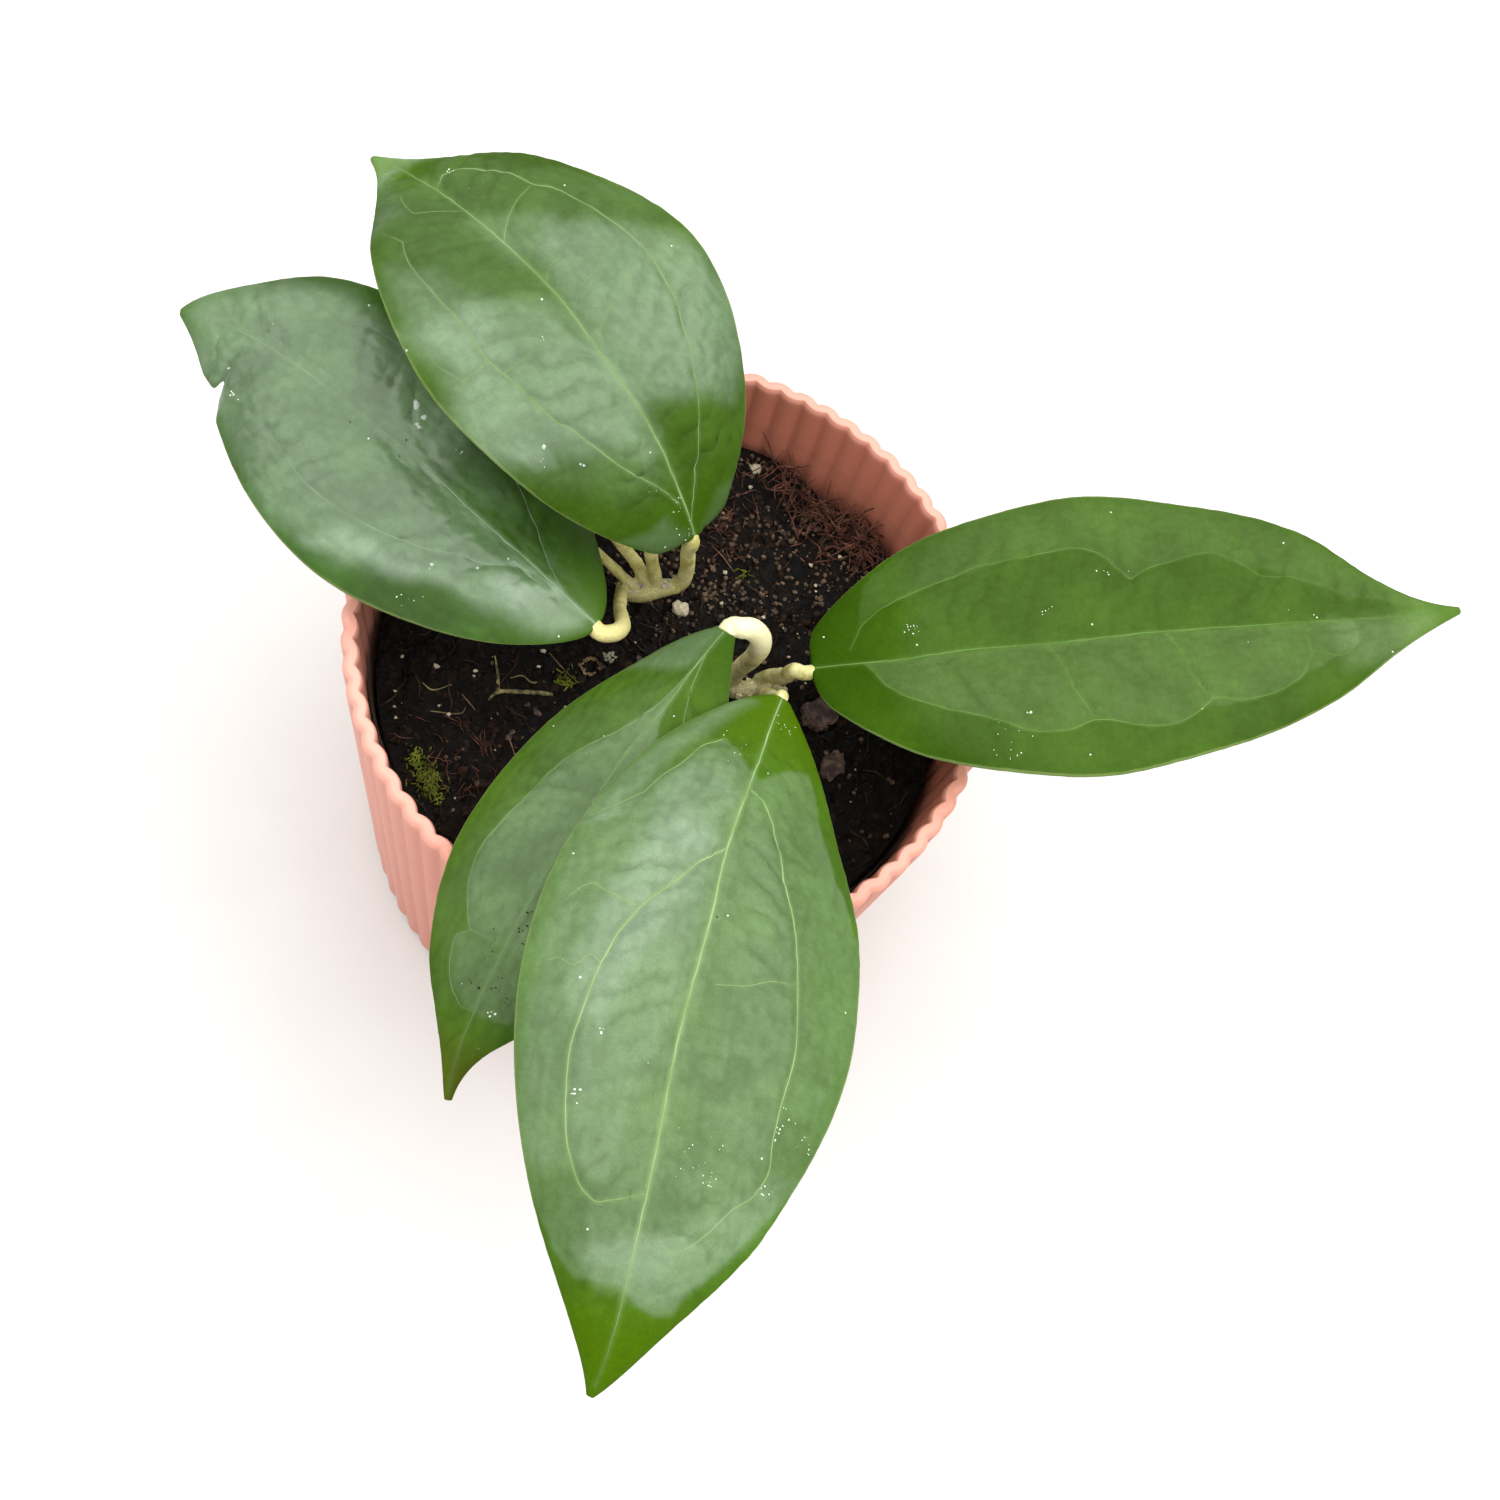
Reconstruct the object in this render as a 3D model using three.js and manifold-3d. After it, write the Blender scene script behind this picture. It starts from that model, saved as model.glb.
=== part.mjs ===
// A potted hoya: five leathery leaves on short petioles, in a fluted pot filled with peat soil.
// Millimetres and degrees, +Z up. The origin is the centre of the pot's underside, and the plant
// leans its largest leaf towards -Y.

import * as THREE from 'three';
import { mergeVertices } from 'three/addons/utils/BufferGeometryUtils.js';
import Module from 'manifold-3d';

const wasm = await Module();
wasm.setup();

// Fluted pot: one wall pressed into waves, so its outer crests lie behind its inner hollows
const POT_HEIGHT = 92;
const POT_RIM_RADIUS = 60;
const POT_BASE_RADIUS = 55;
const POT_WALL = 2.4;
const POT_FLOOR = 4;
const POT_EDGE = 0.9;
const POT_FOOT_CHAMFER = 1.5;
const FLUTES = 72;
const FLUTE_DEPTH = 1.0;
const FLUTE_STEPS = 4;
const FLUTE_ROUNDNESS = 0.7;
const FLUTE_PHASE = 4.4;

// Thin clear nursery pot that stands inside and holds the soil, with drain holes in its floor
const SEAT_GAP = 0.3;
const LINER_WALL = 0.7;
const LINER_RIM_HEIGHT = 79.5;
const LINER_RIM_RADIUS = 56;
const LINER_BASE_RADIUS = 51.2;
const LINER_TILT = 1.5;
const LINER_TILT_TOWARDS = 60;
const LINER_SIDES = 64;
const DRAIN_HOLES = 4;
const DRAIN_HOLE_RADIUS = 3.5;
const DRAIN_HOLES_OUT = 30;

// Soil: an uneven top at a mean level, with clods laid out on a sunflower spiral
const SOIL_LEVEL = 73;
const SOIL_EDGE_RADIUS = 54.3;
const SOIL_RINGS = 12;
const SOIL_SIDES = 60;
const CLODS = 30;
const CLOD_HEIGHT = 1.5;
const CLOD_WIDTH = 3.6;
const GOLDEN_ANGLE = 137.5;
const HOLLOW = { x: 20, y: 47, depth: 2.6, width: 7 };

// Leaf blades: what all five share
const BLADE = {
  thickness: 1.3,
  edgeThickness: 0.8,
  midribThickness: 1.7,
  midribWidth: 2.2,
  footHalfWidth: 2,
  tipHalfWidth: 0.5,
  ribHeight: 0.35,
  valleyDepth: 0.5,
  valleyWidth: 3.2,
  lateralDepth: 0.35,
  lateralWidth: 2.2,
  lateralReach: 0.65,
  quiltHeight: 0.22,
  quiltPitch: 15,
  marginWave: 0.6,
  marginPitch: 34,
};
const BLADE_ROWS = 24;
const BLADE_COLUMNS = [0, 0.1, 0.3, 0.5, 0.65, 0.82, 1];
const MIDRIB_STEPS = 120;

// Each leaf: where its blade starts, and how its midrib runs and its blade spreads. Heading is
// the compass angle from +X, and pitch is the climb of the midrib at its start, middle and tip.
// Values in pairs are for the left and right half of the blade, seen from its foot.
const LEAVES = [
  {
    name: 'leaf_top',
    base: [-2.2, 14.6, 104],
    length: 104,
    heading: [146, 148],
    tipHook: 0,
    pitch: [62, 3, -34],
    roll: [1, -1],
    halfWidth: [28.5, 29.5],
    fullness: [0.8, 0.9],
    taper: [1.02, 1.12],
    tipSqueeze: [0.5, 0.45],
    cup: 9,
    curl: -14,
    lobes: [3, 4.5],
    phase: 0.4,
  },
  {
    name: 'leaf_left',
    base: [-14.3, -5.2, 97],
    length: 98,
    heading: [159, 157],
    tipHook: 20,
    pitch: [18, 7, -28],
    roll: [8, -24],
    halfWidth: [26.5, 25.5],
    fullness: [0.76, 0.72],
    taper: [0.88, 0.82],
    tipSqueeze: [0.1, 0.3],
    cup: 6,
    curl: -17,
    lobes: [0, 1],
    phase: 1.7,
    notch: { at: 0.838, depth: 0.32, reach: 0.014 },
  },
  {
    name: 'leaf_right',
    base: [26.3, 0.7, 94],
    length: 120,
    heading: [20, 18],
    tipHook: 10,
    pitch: [15, 12, 3],
    roll: [-11, -3],
    halfWidth: [31.5, 27.5],
    fullness: [0.68, 0.74],
    taper: [0.98, 1.06],
    tipSqueeze: [0.6, 0.4],
    cup: 11,
    curl: -12,
    lobes: [2, 1.5],
    phase: 2.9,
  },
  {
    name: 'leaf_front_left',
    base: [8.5, -2, 104],
    length: 98,
    heading: [-112, -97],
    tipHook: 20,
    pitch: [-4, 0, -42],
    roll: [9, 9],
    halfWidth: [20.5, 20],
    fullness: [1.04, 0.98],
    taper: [1.04, 1.04],
    tipSqueeze: [0.65, 0.6],
    cup: -5,
    curl: -14,
    lobes: [0.5, 3.5],
    phase: 4.1,
  },
  {
    name: 'leaf_front',
    base: [21.4, -11.3, 103],
    length: 131,
    heading: [-97, -80],
    tipHook: -20,
    pitch: [26, 7, -44],
    roll: [-9, 2],
    halfWidth: [29.5, 27],
    fullness: [0.9, 0.88],
    taper: [0.98, 1.04],
    tipSqueeze: [0.35, 0.05],
    cup: 2,
    curl: -16,
    lobes: [1, 1.5],
    phase: 5.2,
  },
];

// Vines: every stretch is a route of hand-set points with a radius at each point
const STEM_SIDES = 10;
const PETIOLE_END_STRAIGHT = 1.3;
const PETIOLE_GAP = 0.4;
const BURIED_FOOT = 50;

const VINE_LEFT = {
  name: 'vine_left',
  crust: {
    points: [[-13.7, 13.9, 75], [-8.9, 14.9, 75], [-5.1, 17.2, 75.3], [-1.9, 18.4, 76]],
    radii: [1.8, 2.2, 2.1, 1.6],
  },
  foot: { x: -7.6, y: 16, radius: 2 },
  stems: [
    {
      points: [[-6.5, 17.2, 75.3], [-7.4, 17.6, 80], [-8.4, 17.3, 85], [-9.6, 16.4, 93], [-10.4, 15.6, 98]],
      radii: [1.8, 1.5, 1.45, 1.4, 1.1],
    },
    {
      points: [[-7.9, 16.4, 75.3], [-10.7, 17.8, 80], [-13.7, 17.7, 85], [-16.9, 17, 91], [-18.8, 16.4, 94.4]],
      radii: [1.7, 1.45, 1.4, 1.3, 1],
    },
    {
      points: [[-9.5, 15, 75.3], [-12.7, 15.5, 78], [-15.6, 15.2, 82], [-19, 14.7, 86.6], [-21.6, 14.2, 89.8]],
      radii: [1.6, 1.25, 1.2, 1.15, 0.9],
    },
  ],
  petioles: [
    {
      leaf: 'leaf_top',
      points: [[-3.4, 17.8, 75.4], [-1.8, 18.9, 77], [-1.5, 19.5, 80.5], [-1.9, 18.9, 86.5], [-2.3, 17.3, 93.5]],
      radii: [1.7, 1.8, 1.7, 1.65, 1.6],
      endRadius: 1.5,
    },
    {
      leaf: 'leaf_left',
      points: [[-12.5, 14, 75.4], [-12, 10.2, 79], [-11.3, 5.2, 85], [-10.3, 1.4, 89.6], [-9.7, -2.2, 93.3],
        [-10.6, -4.6, 95.3]],
      radii: [1.5, 1.45, 1.45, 1.55, 1.8, 1.9],
      endRadius: 1.8,
    },
  ],
};

const VINE_RIGHT = {
  name: 'vine_right',
  crust: {
    points: [[13, 0.6, 75], [16.1, 1.4, 75.2], [19.8, 2.5, 75.4], [24.1, 3, 74.7]],
    radii: [1.7, 2.2, 2.4, 1.7],
  },
  foot: { x: 18, y: 2.2, radius: 2.1 },
  stems: [],
  petioles: [
    {
      leaf: 'leaf_right',
      points: [[17.9, 3.8, 75.6], [19.8, 3.8, 79.4], [22.2, 2.2, 85.2], [23.2, 0.6, 91.8]],
      radii: [1.8, 1.9, 1.95, 1.9],
      endRadius: 1.8,
    },
    {
      leaf: 'leaf_front_left',
      points: [[12.7, 2, 75.6], [13.5, 2.6, 81], [14.9, 2, 88], [15.6, 1.4, 95], [14.8, 1, 100], [12.9, 0.5, 103],
        [11, -0.4, 104]],
      radii: [1.9, 1.95, 2.05, 2.2, 2.3, 2.3, 2.2],
      endRadius: 1.9,
    },
    {
      leaf: 'leaf_front',
      points: [[19.3, 1.8, 75.8], [20.5, -2.4, 84], [21.2, -6.4, 92], [21.4, -9, 98.4]],
      radii: [1.8, 1.9, 2, 2],
      endRadius: 1.9,
    },
  ],
};

// Loose things on the soil, each in a shallow seat of its own. Places are measured on the soil,
// from the pot's axis.
const BARK_CHIPS = [
  { name: 'bark_chip_back', x: 31.2, y: 2.1, turn: 40, size: [7.4, 6, 2.6], tilt: 8 },
  { name: 'bark_chip_front', x: 36.2, y: -7.8, turn: 75, size: [6.2, 4.2, 2.4], tilt: -6 },
];
const PERLITE_LUMPS = [
  { name: 'perlite_lump', x: -0.5, y: 15.1, size: [3.5, 3, 2.4] },
  { name: 'perlite_lump_back', x: 5.6, y: 50.2, size: [2.4, 2.2, 1.8] },
];
const DRY_ROOT = {
  name: 'dry_root',
  lift: 0.35,
  stem: { points: [[-30.3, -14.8], [-29, -12.8], [-25, -11.5], [-20.4, -10.4], [-18.9, -10.3]],
    radii: [0.4, 0.75, 0.75, 0.8, 0.6] },
  fork: { points: [[-31.7, -6.1], [-30.1, -9.4], [-29, -12.6]], radii: [0.35, 0.5, 0.65] },
};

const rad = THREE.MathUtils.degToRad;

function smoothstep(x, low, high) {
  const t = THREE.MathUtils.clamp((x - low) / (high - low), 0, 1);
  return t * t * (3 - 2 * t);
}

// three.js geometry to a solid and back
function solidOf(geometry) {
  const bare = geometry.clone();
  bare.deleteAttribute('normal');
  bare.deleteAttribute('uv');
  const merged = mergeVertices(bare, 1e-5);
  const mesh = new wasm.Mesh({
    numProp: 3,
    vertProperties: new Float32Array(merged.attributes.position.array),
    triVerts: new Uint32Array(merged.index.array),
  });
  return new wasm.Manifold(mesh);
}

function geometryOf(solid) {
  const mesh = solid.getMesh();
  const geometry = new THREE.BufferGeometry();
  geometry.setAttribute('position', new THREE.BufferAttribute(new Float32Array(mesh.vertProperties), 3));
  geometry.setIndex(new THREE.BufferAttribute(new Uint32Array(mesh.triVerts), 1));
  geometry.computeVertexNormals();
  return geometry;
}

// A closed skin through rings of points, with a fan at each end
function loft(rings) {
  const sides = rings[0].length;
  const corners = [];
  const faces = [];
  for (const ring of rings) {
    for (const p of ring) corners.push(p.x, p.y, p.z);
  }
  for (let i = 0; i < rings.length - 1; i += 1) {
    for (let j = 0; j < sides; j += 1) {
      const a = i * sides + j;
      const b = i * sides + (j + 1) % sides;
      faces.push(a, b, b + sides, a, b + sides, a + sides);
    }
  }
  for (const end of [0, rings.length - 1]) {
    const centre = new THREE.Vector3();
    for (const p of rings[end]) centre.addScaledVector(p, 1 / sides);
    const hub = corners.length / 3;
    corners.push(centre.x, centre.y, centre.z);
    for (let j = 0; j < sides; j += 1) {
      const a = end * sides + j;
      const b = end * sides + (j + 1) % sides;
      if (end === 0) faces.push(b, a, hub);
      else faces.push(a, b, hub);
    }
  }
  const geometry = new THREE.BufferGeometry();
  geometry.setAttribute('position', new THREE.Float32BufferAttribute(corners, 3));
  geometry.setIndex(faces);
  geometry.computeVertexNormals();
  return geometry;
}

// Height of the flutes' wave round the pot: 1 on a crest, 0 in the narrow valley beside it
function fluteWave(angle) {
  return Math.abs(Math.cos((FLUTES / 2) * angle)) ** FLUTE_ROUNDNESS;
}

// A closed skin's faces point outwards when its volume comes out positive
function turnedOut(geometry) {
  const index = geometry.index.array;
  const position = geometry.attributes.position;
  const a = new THREE.Vector3();
  const b = new THREE.Vector3();
  const c = new THREE.Vector3();
  let volume = 0;
  for (let i = 0; i < index.length; i += 3) {
    a.fromBufferAttribute(position, index[i]);
    b.fromBufferAttribute(position, index[i + 1]);
    c.fromBufferAttribute(position, index[i + 2]);
    volume += a.dot(b.cross(c));
  }
  if (volume < 0) {
    for (let i = 0; i < index.length; i += 3) {
      const first = index[i];
      index[i] = index[i + 1];
      index[i + 1] = first;
    }
  }
  return geometry;
}

// A profile turned about +Z. place(p, angle) may move each of its points, turn by turn.
function turnedSolid(profile, sides, place) {
  const points = profile.map((p) => new THREE.Vector2(p.r, p.z));
  const geometry = new THREE.LatheGeometry(points, sides);
  const position = geometry.attributes.position;
  for (let i = 0; i < position.count; i += 1) {
    const angle = (Math.floor(i / profile.length) * 2 * Math.PI) / sides;
    const { r, z } = place(profile[i % profile.length], angle);
    position.setXYZ(i, r * Math.cos(angle), r * Math.sin(angle), z);
  }
  return solidOf(turnedOut(geometry));
}

function potSolid() {
  const inner = POT_RIM_RADIUS - POT_WALL;
  const innerBase = POT_BASE_RADIUS - POT_WALL + (POT_RIM_RADIUS - POT_BASE_RADIUS) * (POT_FLOOR / POT_HEIGHT);
  const profile = [
    { r: 0, z: 0 },
    { r: POT_BASE_RADIUS - POT_FOOT_CHAMFER, z: 0 },
    { r: POT_BASE_RADIUS, z: POT_FOOT_CHAMFER, face: 'outer' },
    { r: POT_RIM_RADIUS, z: POT_HEIGHT - POT_EDGE, face: 'outer' },
    { r: POT_RIM_RADIUS - POT_EDGE, z: POT_HEIGHT, face: 'outer' },
    { r: inner + POT_EDGE / 2, z: POT_HEIGHT, face: 'inner' },
    { r: inner, z: POT_HEIGHT - POT_EDGE, face: 'inner' },
    { r: innerBase, z: POT_FLOOR, face: 'inner' },
    { r: 0, z: POT_FLOOR },
  ];
  const solid = turnedSolid(profile, FLUTES * FLUTE_STEPS, ({ r, z, face }, angle) => {
    if (face === 'outer') return { r: r + FLUTE_DEPTH * (fluteWave(angle) - 0.5), z };
    if (face === 'inner') return { r: r + FLUTE_DEPTH * (0.5 - fluteWave(angle + Math.PI / FLUTES)), z };
    return { r, z };
  });
  return solid.rotate([0, 0, FLUTE_PHASE]);
}

function linerSolid() {
  const floor = POT_FLOOR + SEAT_GAP;
  const profile = [
    { r: 0, z: floor },
    { r: LINER_BASE_RADIUS, z: floor },
    { r: LINER_RIM_RADIUS, z: LINER_RIM_HEIGHT, atRim: true },
    { r: LINER_RIM_RADIUS - LINER_WALL, z: LINER_RIM_HEIGHT, atRim: true },
    { r: LINER_BASE_RADIUS - LINER_WALL, z: floor + LINER_WALL },
    { r: 0, z: floor + LINER_WALL },
  ];
  let solid = turnedSolid(profile, LINER_SIDES, ({ r, z, atRim }, angle) => ({
    r,
    z: z + (atRim ? LINER_TILT * Math.cos(angle - rad(LINER_TILT_TOWARDS)) : 0),
  }));
  for (let k = 0; k < DRAIN_HOLES; k += 1) {
    const turn = (2 * Math.PI * k) / DRAIN_HOLES;
    const drill = new THREE.CylinderGeometry(DRAIN_HOLE_RADIUS, DRAIN_HOLE_RADIUS, 4 * LINER_WALL, 16);
    drill.rotateX(Math.PI / 2);
    drill.translate(DRAIN_HOLES_OUT * Math.cos(turn), DRAIN_HOLES_OUT * Math.sin(turn), floor + LINER_WALL / 2);
    solid = solid.subtract(solidOf(drill));
  }
  return solid;
}

// Height of the soil's surface above the pot's underside
function soilHeight(x, y) {
  let z = SOIL_LEVEL + 0.7 * Math.sin(x / 9 + 1) * Math.cos(y / 11) + 0.5 * Math.cos(x / 5.5 - y / 7);
  for (let k = 0; k < CLODS; k += 1) {
    const turn = rad(GOLDEN_ANGLE * k);
    const out = SOIL_EDGE_RADIUS * Math.sqrt((k + 0.5) / CLODS);
    const dx = x - out * Math.cos(turn);
    const dy = y - out * Math.sin(turn);
    const width = CLOD_WIDTH * (1 + 0.4 * Math.sin(1.7 * k));
    z += CLOD_HEIGHT * Math.sin(2.4 * k + 1) * Math.exp(-(dx * dx + dy * dy) / (width * width));
  }
  const hx = x - HOLLOW.x;
  const hy = y - HOLLOW.y;
  return z - HOLLOW.depth * Math.exp(-(hx * hx + hy * hy) / (HOLLOW.width * HOLLOW.width));
}

function soilSolid() {
  const bottom = POT_FLOOR + SEAT_GAP + LINER_WALL + SEAT_GAP;
  const profile = [{ r: 0, z: bottom }, { r: LINER_BASE_RADIUS - LINER_WALL - 2 * SEAT_GAP, z: bottom }];
  for (let k = SOIL_RINGS; k >= 0; k -= 1) {
    profile.push({ r: (SOIL_EDGE_RADIUS * k) / SOIL_RINGS, z: SOIL_LEVEL, onTop: true });
  }
  return turnedSolid(profile, SOIL_SIDES, ({ r, z, onTop }, angle) => ({
    r,
    z: onTop ? soilHeight(r * Math.cos(angle), r * Math.sin(angle)) : z,
  }));
}

// A leaf's own frame: its foot is the origin, and its midrib sets out along +X, seen from above
function leafPlacement(leaf) {
  const turn = new THREE.Matrix4().makeRotationZ(rad(leaf.heading[0]));
  return turn.setPosition(...leaf.base);
}

// Directions in that frame at a share u of the length: along the midrib, to the left, and up
function leafAxes(leaf, u) {
  const [from, to] = leaf.heading;
  const [start, middle, end] = leaf.pitch;
  const heading = rad((to - from) * u + leaf.tipHook * u ** 12);
  const pitch = rad(start * (1 - u) * (1 - 2 * u) + 4 * middle * u * (1 - u) + end * u * (2 * u - 1));
  const roll = rad(THREE.MathUtils.lerp(...leaf.roll, u));
  const flat = Math.cos(pitch);
  const along = new THREE.Vector3(flat * Math.cos(heading), flat * Math.sin(heading), Math.sin(pitch));
  const level = new THREE.Vector3(-Math.sin(heading), Math.cos(heading), 0);
  const square = new THREE.Vector3().crossVectors(along, level);
  const left = level.clone().multiplyScalar(Math.cos(roll)).addScaledVector(square, Math.sin(roll));
  const up = level.clone().multiplyScalar(-Math.sin(roll)).addScaledVector(square, Math.cos(roll));
  return { along, left, up };
}

// The midrib as a row of points at even steps
function midribOf(leaf) {
  const points = [new THREE.Vector3()];
  for (let i = 0; i < MIDRIB_STEPS; i += 1) {
    const { along } = leafAxes(leaf, (i + 0.5) / MIDRIB_STEPS);
    points.push(points[i].clone().addScaledVector(along, leaf.length / MIDRIB_STEPS));
  }
  return points;
}

// Half width of a blade at a share u of its length, on its left (side 0) or right (side 1)
function halfWidth(leaf, u, side) {
  const a = leaf.fullness[side];
  const b = leaf.taper[side];
  const peak = (a / (a + b)) ** a * (b / (a + b)) ** b;
  const squeeze = 1 - leaf.tipSqueeze[side] * smoothstep(u, 0.78, 1);
  let width = (leaf.halfWidth[side] * squeeze * u ** a * (1 - u) ** b) / peak;
  if (leaf.notch && side === 0) {
    const { at, depth, reach } = leaf.notch;
    width *= 1 - depth * Math.max(0, 1 - Math.abs(u - at) / reach);
  }
  return width + BLADE.footHalfWidth * (1 - u) ** 10 + BLADE.tipHalfWidth * u ** 10;
}

// Relief of the upper face: raised midrib in a valley, sunken laterals, quilting, waved margin
function bladeRelief(leaf, u, v, across) {
  const fade = smoothstep(u, 0.02, 0.15) * (1 - smoothstep(u, 0.85, 1));
  const valley = -BLADE.valleyDepth * Math.exp(-((across / BLADE.valleyWidth) ** 2));
  const rib = BLADE.ribHeight * Math.exp(-((across / (BLADE.midribWidth / 2)) ** 2));
  const arch = Math.sin(Math.PI * THREE.MathUtils.clamp((u - 0.12) / 0.72, 0, 1));
  const fromLateral = (Math.abs(v) - BLADE.lateralReach * arch ** 0.7) * leaf.halfWidth[0];
  const lateral = -BLADE.lateralDepth * Math.exp(-((fromLateral / BLADE.lateralWidth) ** 2));
  const slant = u * leaf.length - 0.6 * Math.abs(across);
  const quilt = BLADE.quiltHeight * Math.sin((2 * Math.PI * slant) / BLADE.quiltPitch + leaf.phase + v)
    * Math.sin(Math.PI * Math.min(1, Math.abs(v) * 1.2));
  const wave = BLADE.marginWave * Math.abs(v) ** 3
    * Math.sin((2 * Math.PI * u * leaf.length) / BLADE.marginPitch + leaf.phase + 1.3 * Math.sign(v));
  return fade * (valley + rib + lateral + quilt + wave);
}

// Point of the blade's middle sheet at a share u of the length and v of the half width, left being +
function bladePoint(leaf, midrib, u, v) {
  const place = u * MIDRIB_STEPS;
  const i = Math.min(Math.floor(place), MIDRIB_STEPS - 1);
  const point = midrib[i].clone().lerp(midrib[i + 1], place - i);
  const { along, left, up } = leafAxes(leaf, u);
  const side = v < 0 ? 1 : 0;
  const across = Math.abs(v) * halfWidth(leaf, u, side);
  const slope = rad(leaf.cup + leaf.curl * Math.abs(v));
  const pastFoot = THREE.MathUtils.clamp((across - BLADE.footHalfWidth - 0.4) / 6, 0, 1);
  point.addScaledVector(left, Math.sign(v) * across * Math.cos(slope));
  point.addScaledVector(up, across * Math.sin(slope) + bladeRelief(leaf, u, v, across));
  point.addScaledVector(along, -leaf.lobes[side] * (1 - u) ** 5 * pastFoot);
  return point;
}

// Rows crowd together towards the foot and the tip, and a notch gets three rows of its own
function bladeRows(leaf) {
  const rows = [];
  for (let i = 0; i <= BLADE_ROWS; i += 1) {
    const even = i / BLADE_ROWS;
    rows.push(THREE.MathUtils.lerp(even, 0.5 - 0.5 * Math.cos(Math.PI * even), 0.6));
  }
  if (!leaf.notch) return rows;
  const { at, reach } = leaf.notch;
  const clear = rows.filter((u) => Math.abs(u - at) > 1.5 * reach);
  return [...clear, at - reach, at, at + reach].sort((p, q) => p - q);
}

// Square direction off the middle sheet, from its slopes a small step to either side
function bladeNormal(leaf, midrib, u, v) {
  const step = 1e-3;
  const before = bladePoint(leaf, midrib, Math.max(u - step, 0), v);
  const after = bladePoint(leaf, midrib, Math.min(u + step, 1), v);
  const right = bladePoint(leaf, midrib, u, Math.max(v - step, -1));
  const left = bladePoint(leaf, midrib, u, Math.min(v + step, 1));
  return after.sub(before).cross(left.sub(right)).normalize();
}

function leafSolid(leaf) {
  const midrib = midribOf(leaf);
  const rows = bladeRows(leaf);
  const columns = [...BLADE_COLUMNS.slice(1).reverse().map((v) => -v), ...BLADE_COLUMNS];
  const corners = [];
  const faces = [];
  const addCorner = (point) => corners.push(point.x, point.y, point.z) / 3 - 1;
  const upper = [];
  const lower = [];
  for (const u of rows) {
    const upperRow = [];
    const lowerRow = [];
    for (const v of columns) {
      const point = bladePoint(leaf, midrib, u, v);
      const normal = bladeNormal(leaf, midrib, u, v);
      const across = Math.abs(v) * halfWidth(leaf, u, v < 0 ? 1 : 0);
      const body = THREE.MathUtils.lerp(BLADE.thickness, BLADE.edgeThickness, Math.abs(v) ** 3);
      const rib = BLADE.midribThickness * (1 - u) ** 1.5 * Math.exp(-((across / BLADE.midribWidth) ** 2));
      upperRow.push(addCorner(point.clone().addScaledVector(normal, body / 2)));
      lowerRow.push(addCorner(point.clone().addScaledVector(normal, -body / 2 - rib)));
    }
    upper.push(upperRow);
    lower.push(lowerRow);
  }
  // Both faces are split along the same diagonals, and a rim of quads closes the blade
  const quad = (a, b, c, d) => faces.push(a, b, c, a, c, d);
  const right = columns.length - 1;
  const tip = rows.length - 1;
  for (let i = 0; i < tip; i += 1) {
    for (let j = 0; j < right; j += 1) {
      quad(upper[i][j], upper[i + 1][j], upper[i + 1][j + 1], upper[i][j + 1]);
      quad(lower[i][j], lower[i][j + 1], lower[i + 1][j + 1], lower[i + 1][j]);
    }
    quad(upper[i][0], lower[i][0], lower[i + 1][0], upper[i + 1][0]);
    quad(upper[i][right], upper[i + 1][right], lower[i + 1][right], lower[i][right]);
  }
  for (let j = 0; j < right; j += 1) {
    quad(upper[0][j], upper[0][j + 1], lower[0][j + 1], lower[0][j]);
    quad(upper[tip][j], lower[tip][j], lower[tip][j + 1], upper[tip][j + 1]);
  }
  const geometry = new THREE.BufferGeometry();
  geometry.setAttribute('position', new THREE.Float32BufferAttribute(corners, 3));
  geometry.setIndex(faces);
  return solidOf(turnedOut(geometry));
}

// A stem of changing thickness along a smooth route. grow widens it, to cut its seat.
function stemSolid({ points, radii }, steps, grow = 0, sides = STEM_SIDES) {
  const route = new THREE.CatmullRomCurve3(points.map((p) => new THREE.Vector3(...p)), false, 'centripetal');
  const { tangents, normals, binormals } = route.computeFrenetFrames(steps, false);
  const rings = [];
  for (let i = 0; i <= steps; i += 1) {
    const place = route.getUtoTmapping(i / steps) * (radii.length - 1);
    const k = Math.min(Math.floor(place), radii.length - 2);
    const radius = THREE.MathUtils.lerp(radii[k], radii[k + 1], place - k) + grow;
    const centre = route.getPointAt(i / steps);
    if (i === 0) centre.addScaledVector(tangents[0], -grow);
    if (i === steps) centre.addScaledVector(tangents[steps], grow);
    const ring = [];
    for (let j = 0; j < sides; j += 1) {
      const angle = (2 * Math.PI * j) / sides;
      const outward = normals[i].clone().multiplyScalar(Math.cos(angle));
      outward.addScaledVector(binormals[i], Math.sin(angle));
      ring.push(outward.multiplyScalar(radius).add(centre));
    }
    rings.push(ring);
  }
  return solidOf(turnedOut(loft(rings)));
}

// The petiole's route ends square against the foot of its blade
function petioleRoute(petiole) {
  const leaf = LEAVES.find((l) => l.name === petiole.leaf);
  const { along, up } = leafAxes(leaf, 0);
  const inPlant = (distance) => along.clone().multiplyScalar(-distance)
    .addScaledVector(up, -0.3 * BLADE.midribThickness)
    .applyMatrix4(leafPlacement(leaf))
    .toArray();
  return {
    points: [...petiole.points, inPlant(PETIOLE_GAP + PETIOLE_END_STRAIGHT), inPlant(PETIOLE_GAP)],
    radii: [...petiole.radii, petiole.endRadius, petiole.endRadius],
  };
}

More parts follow.
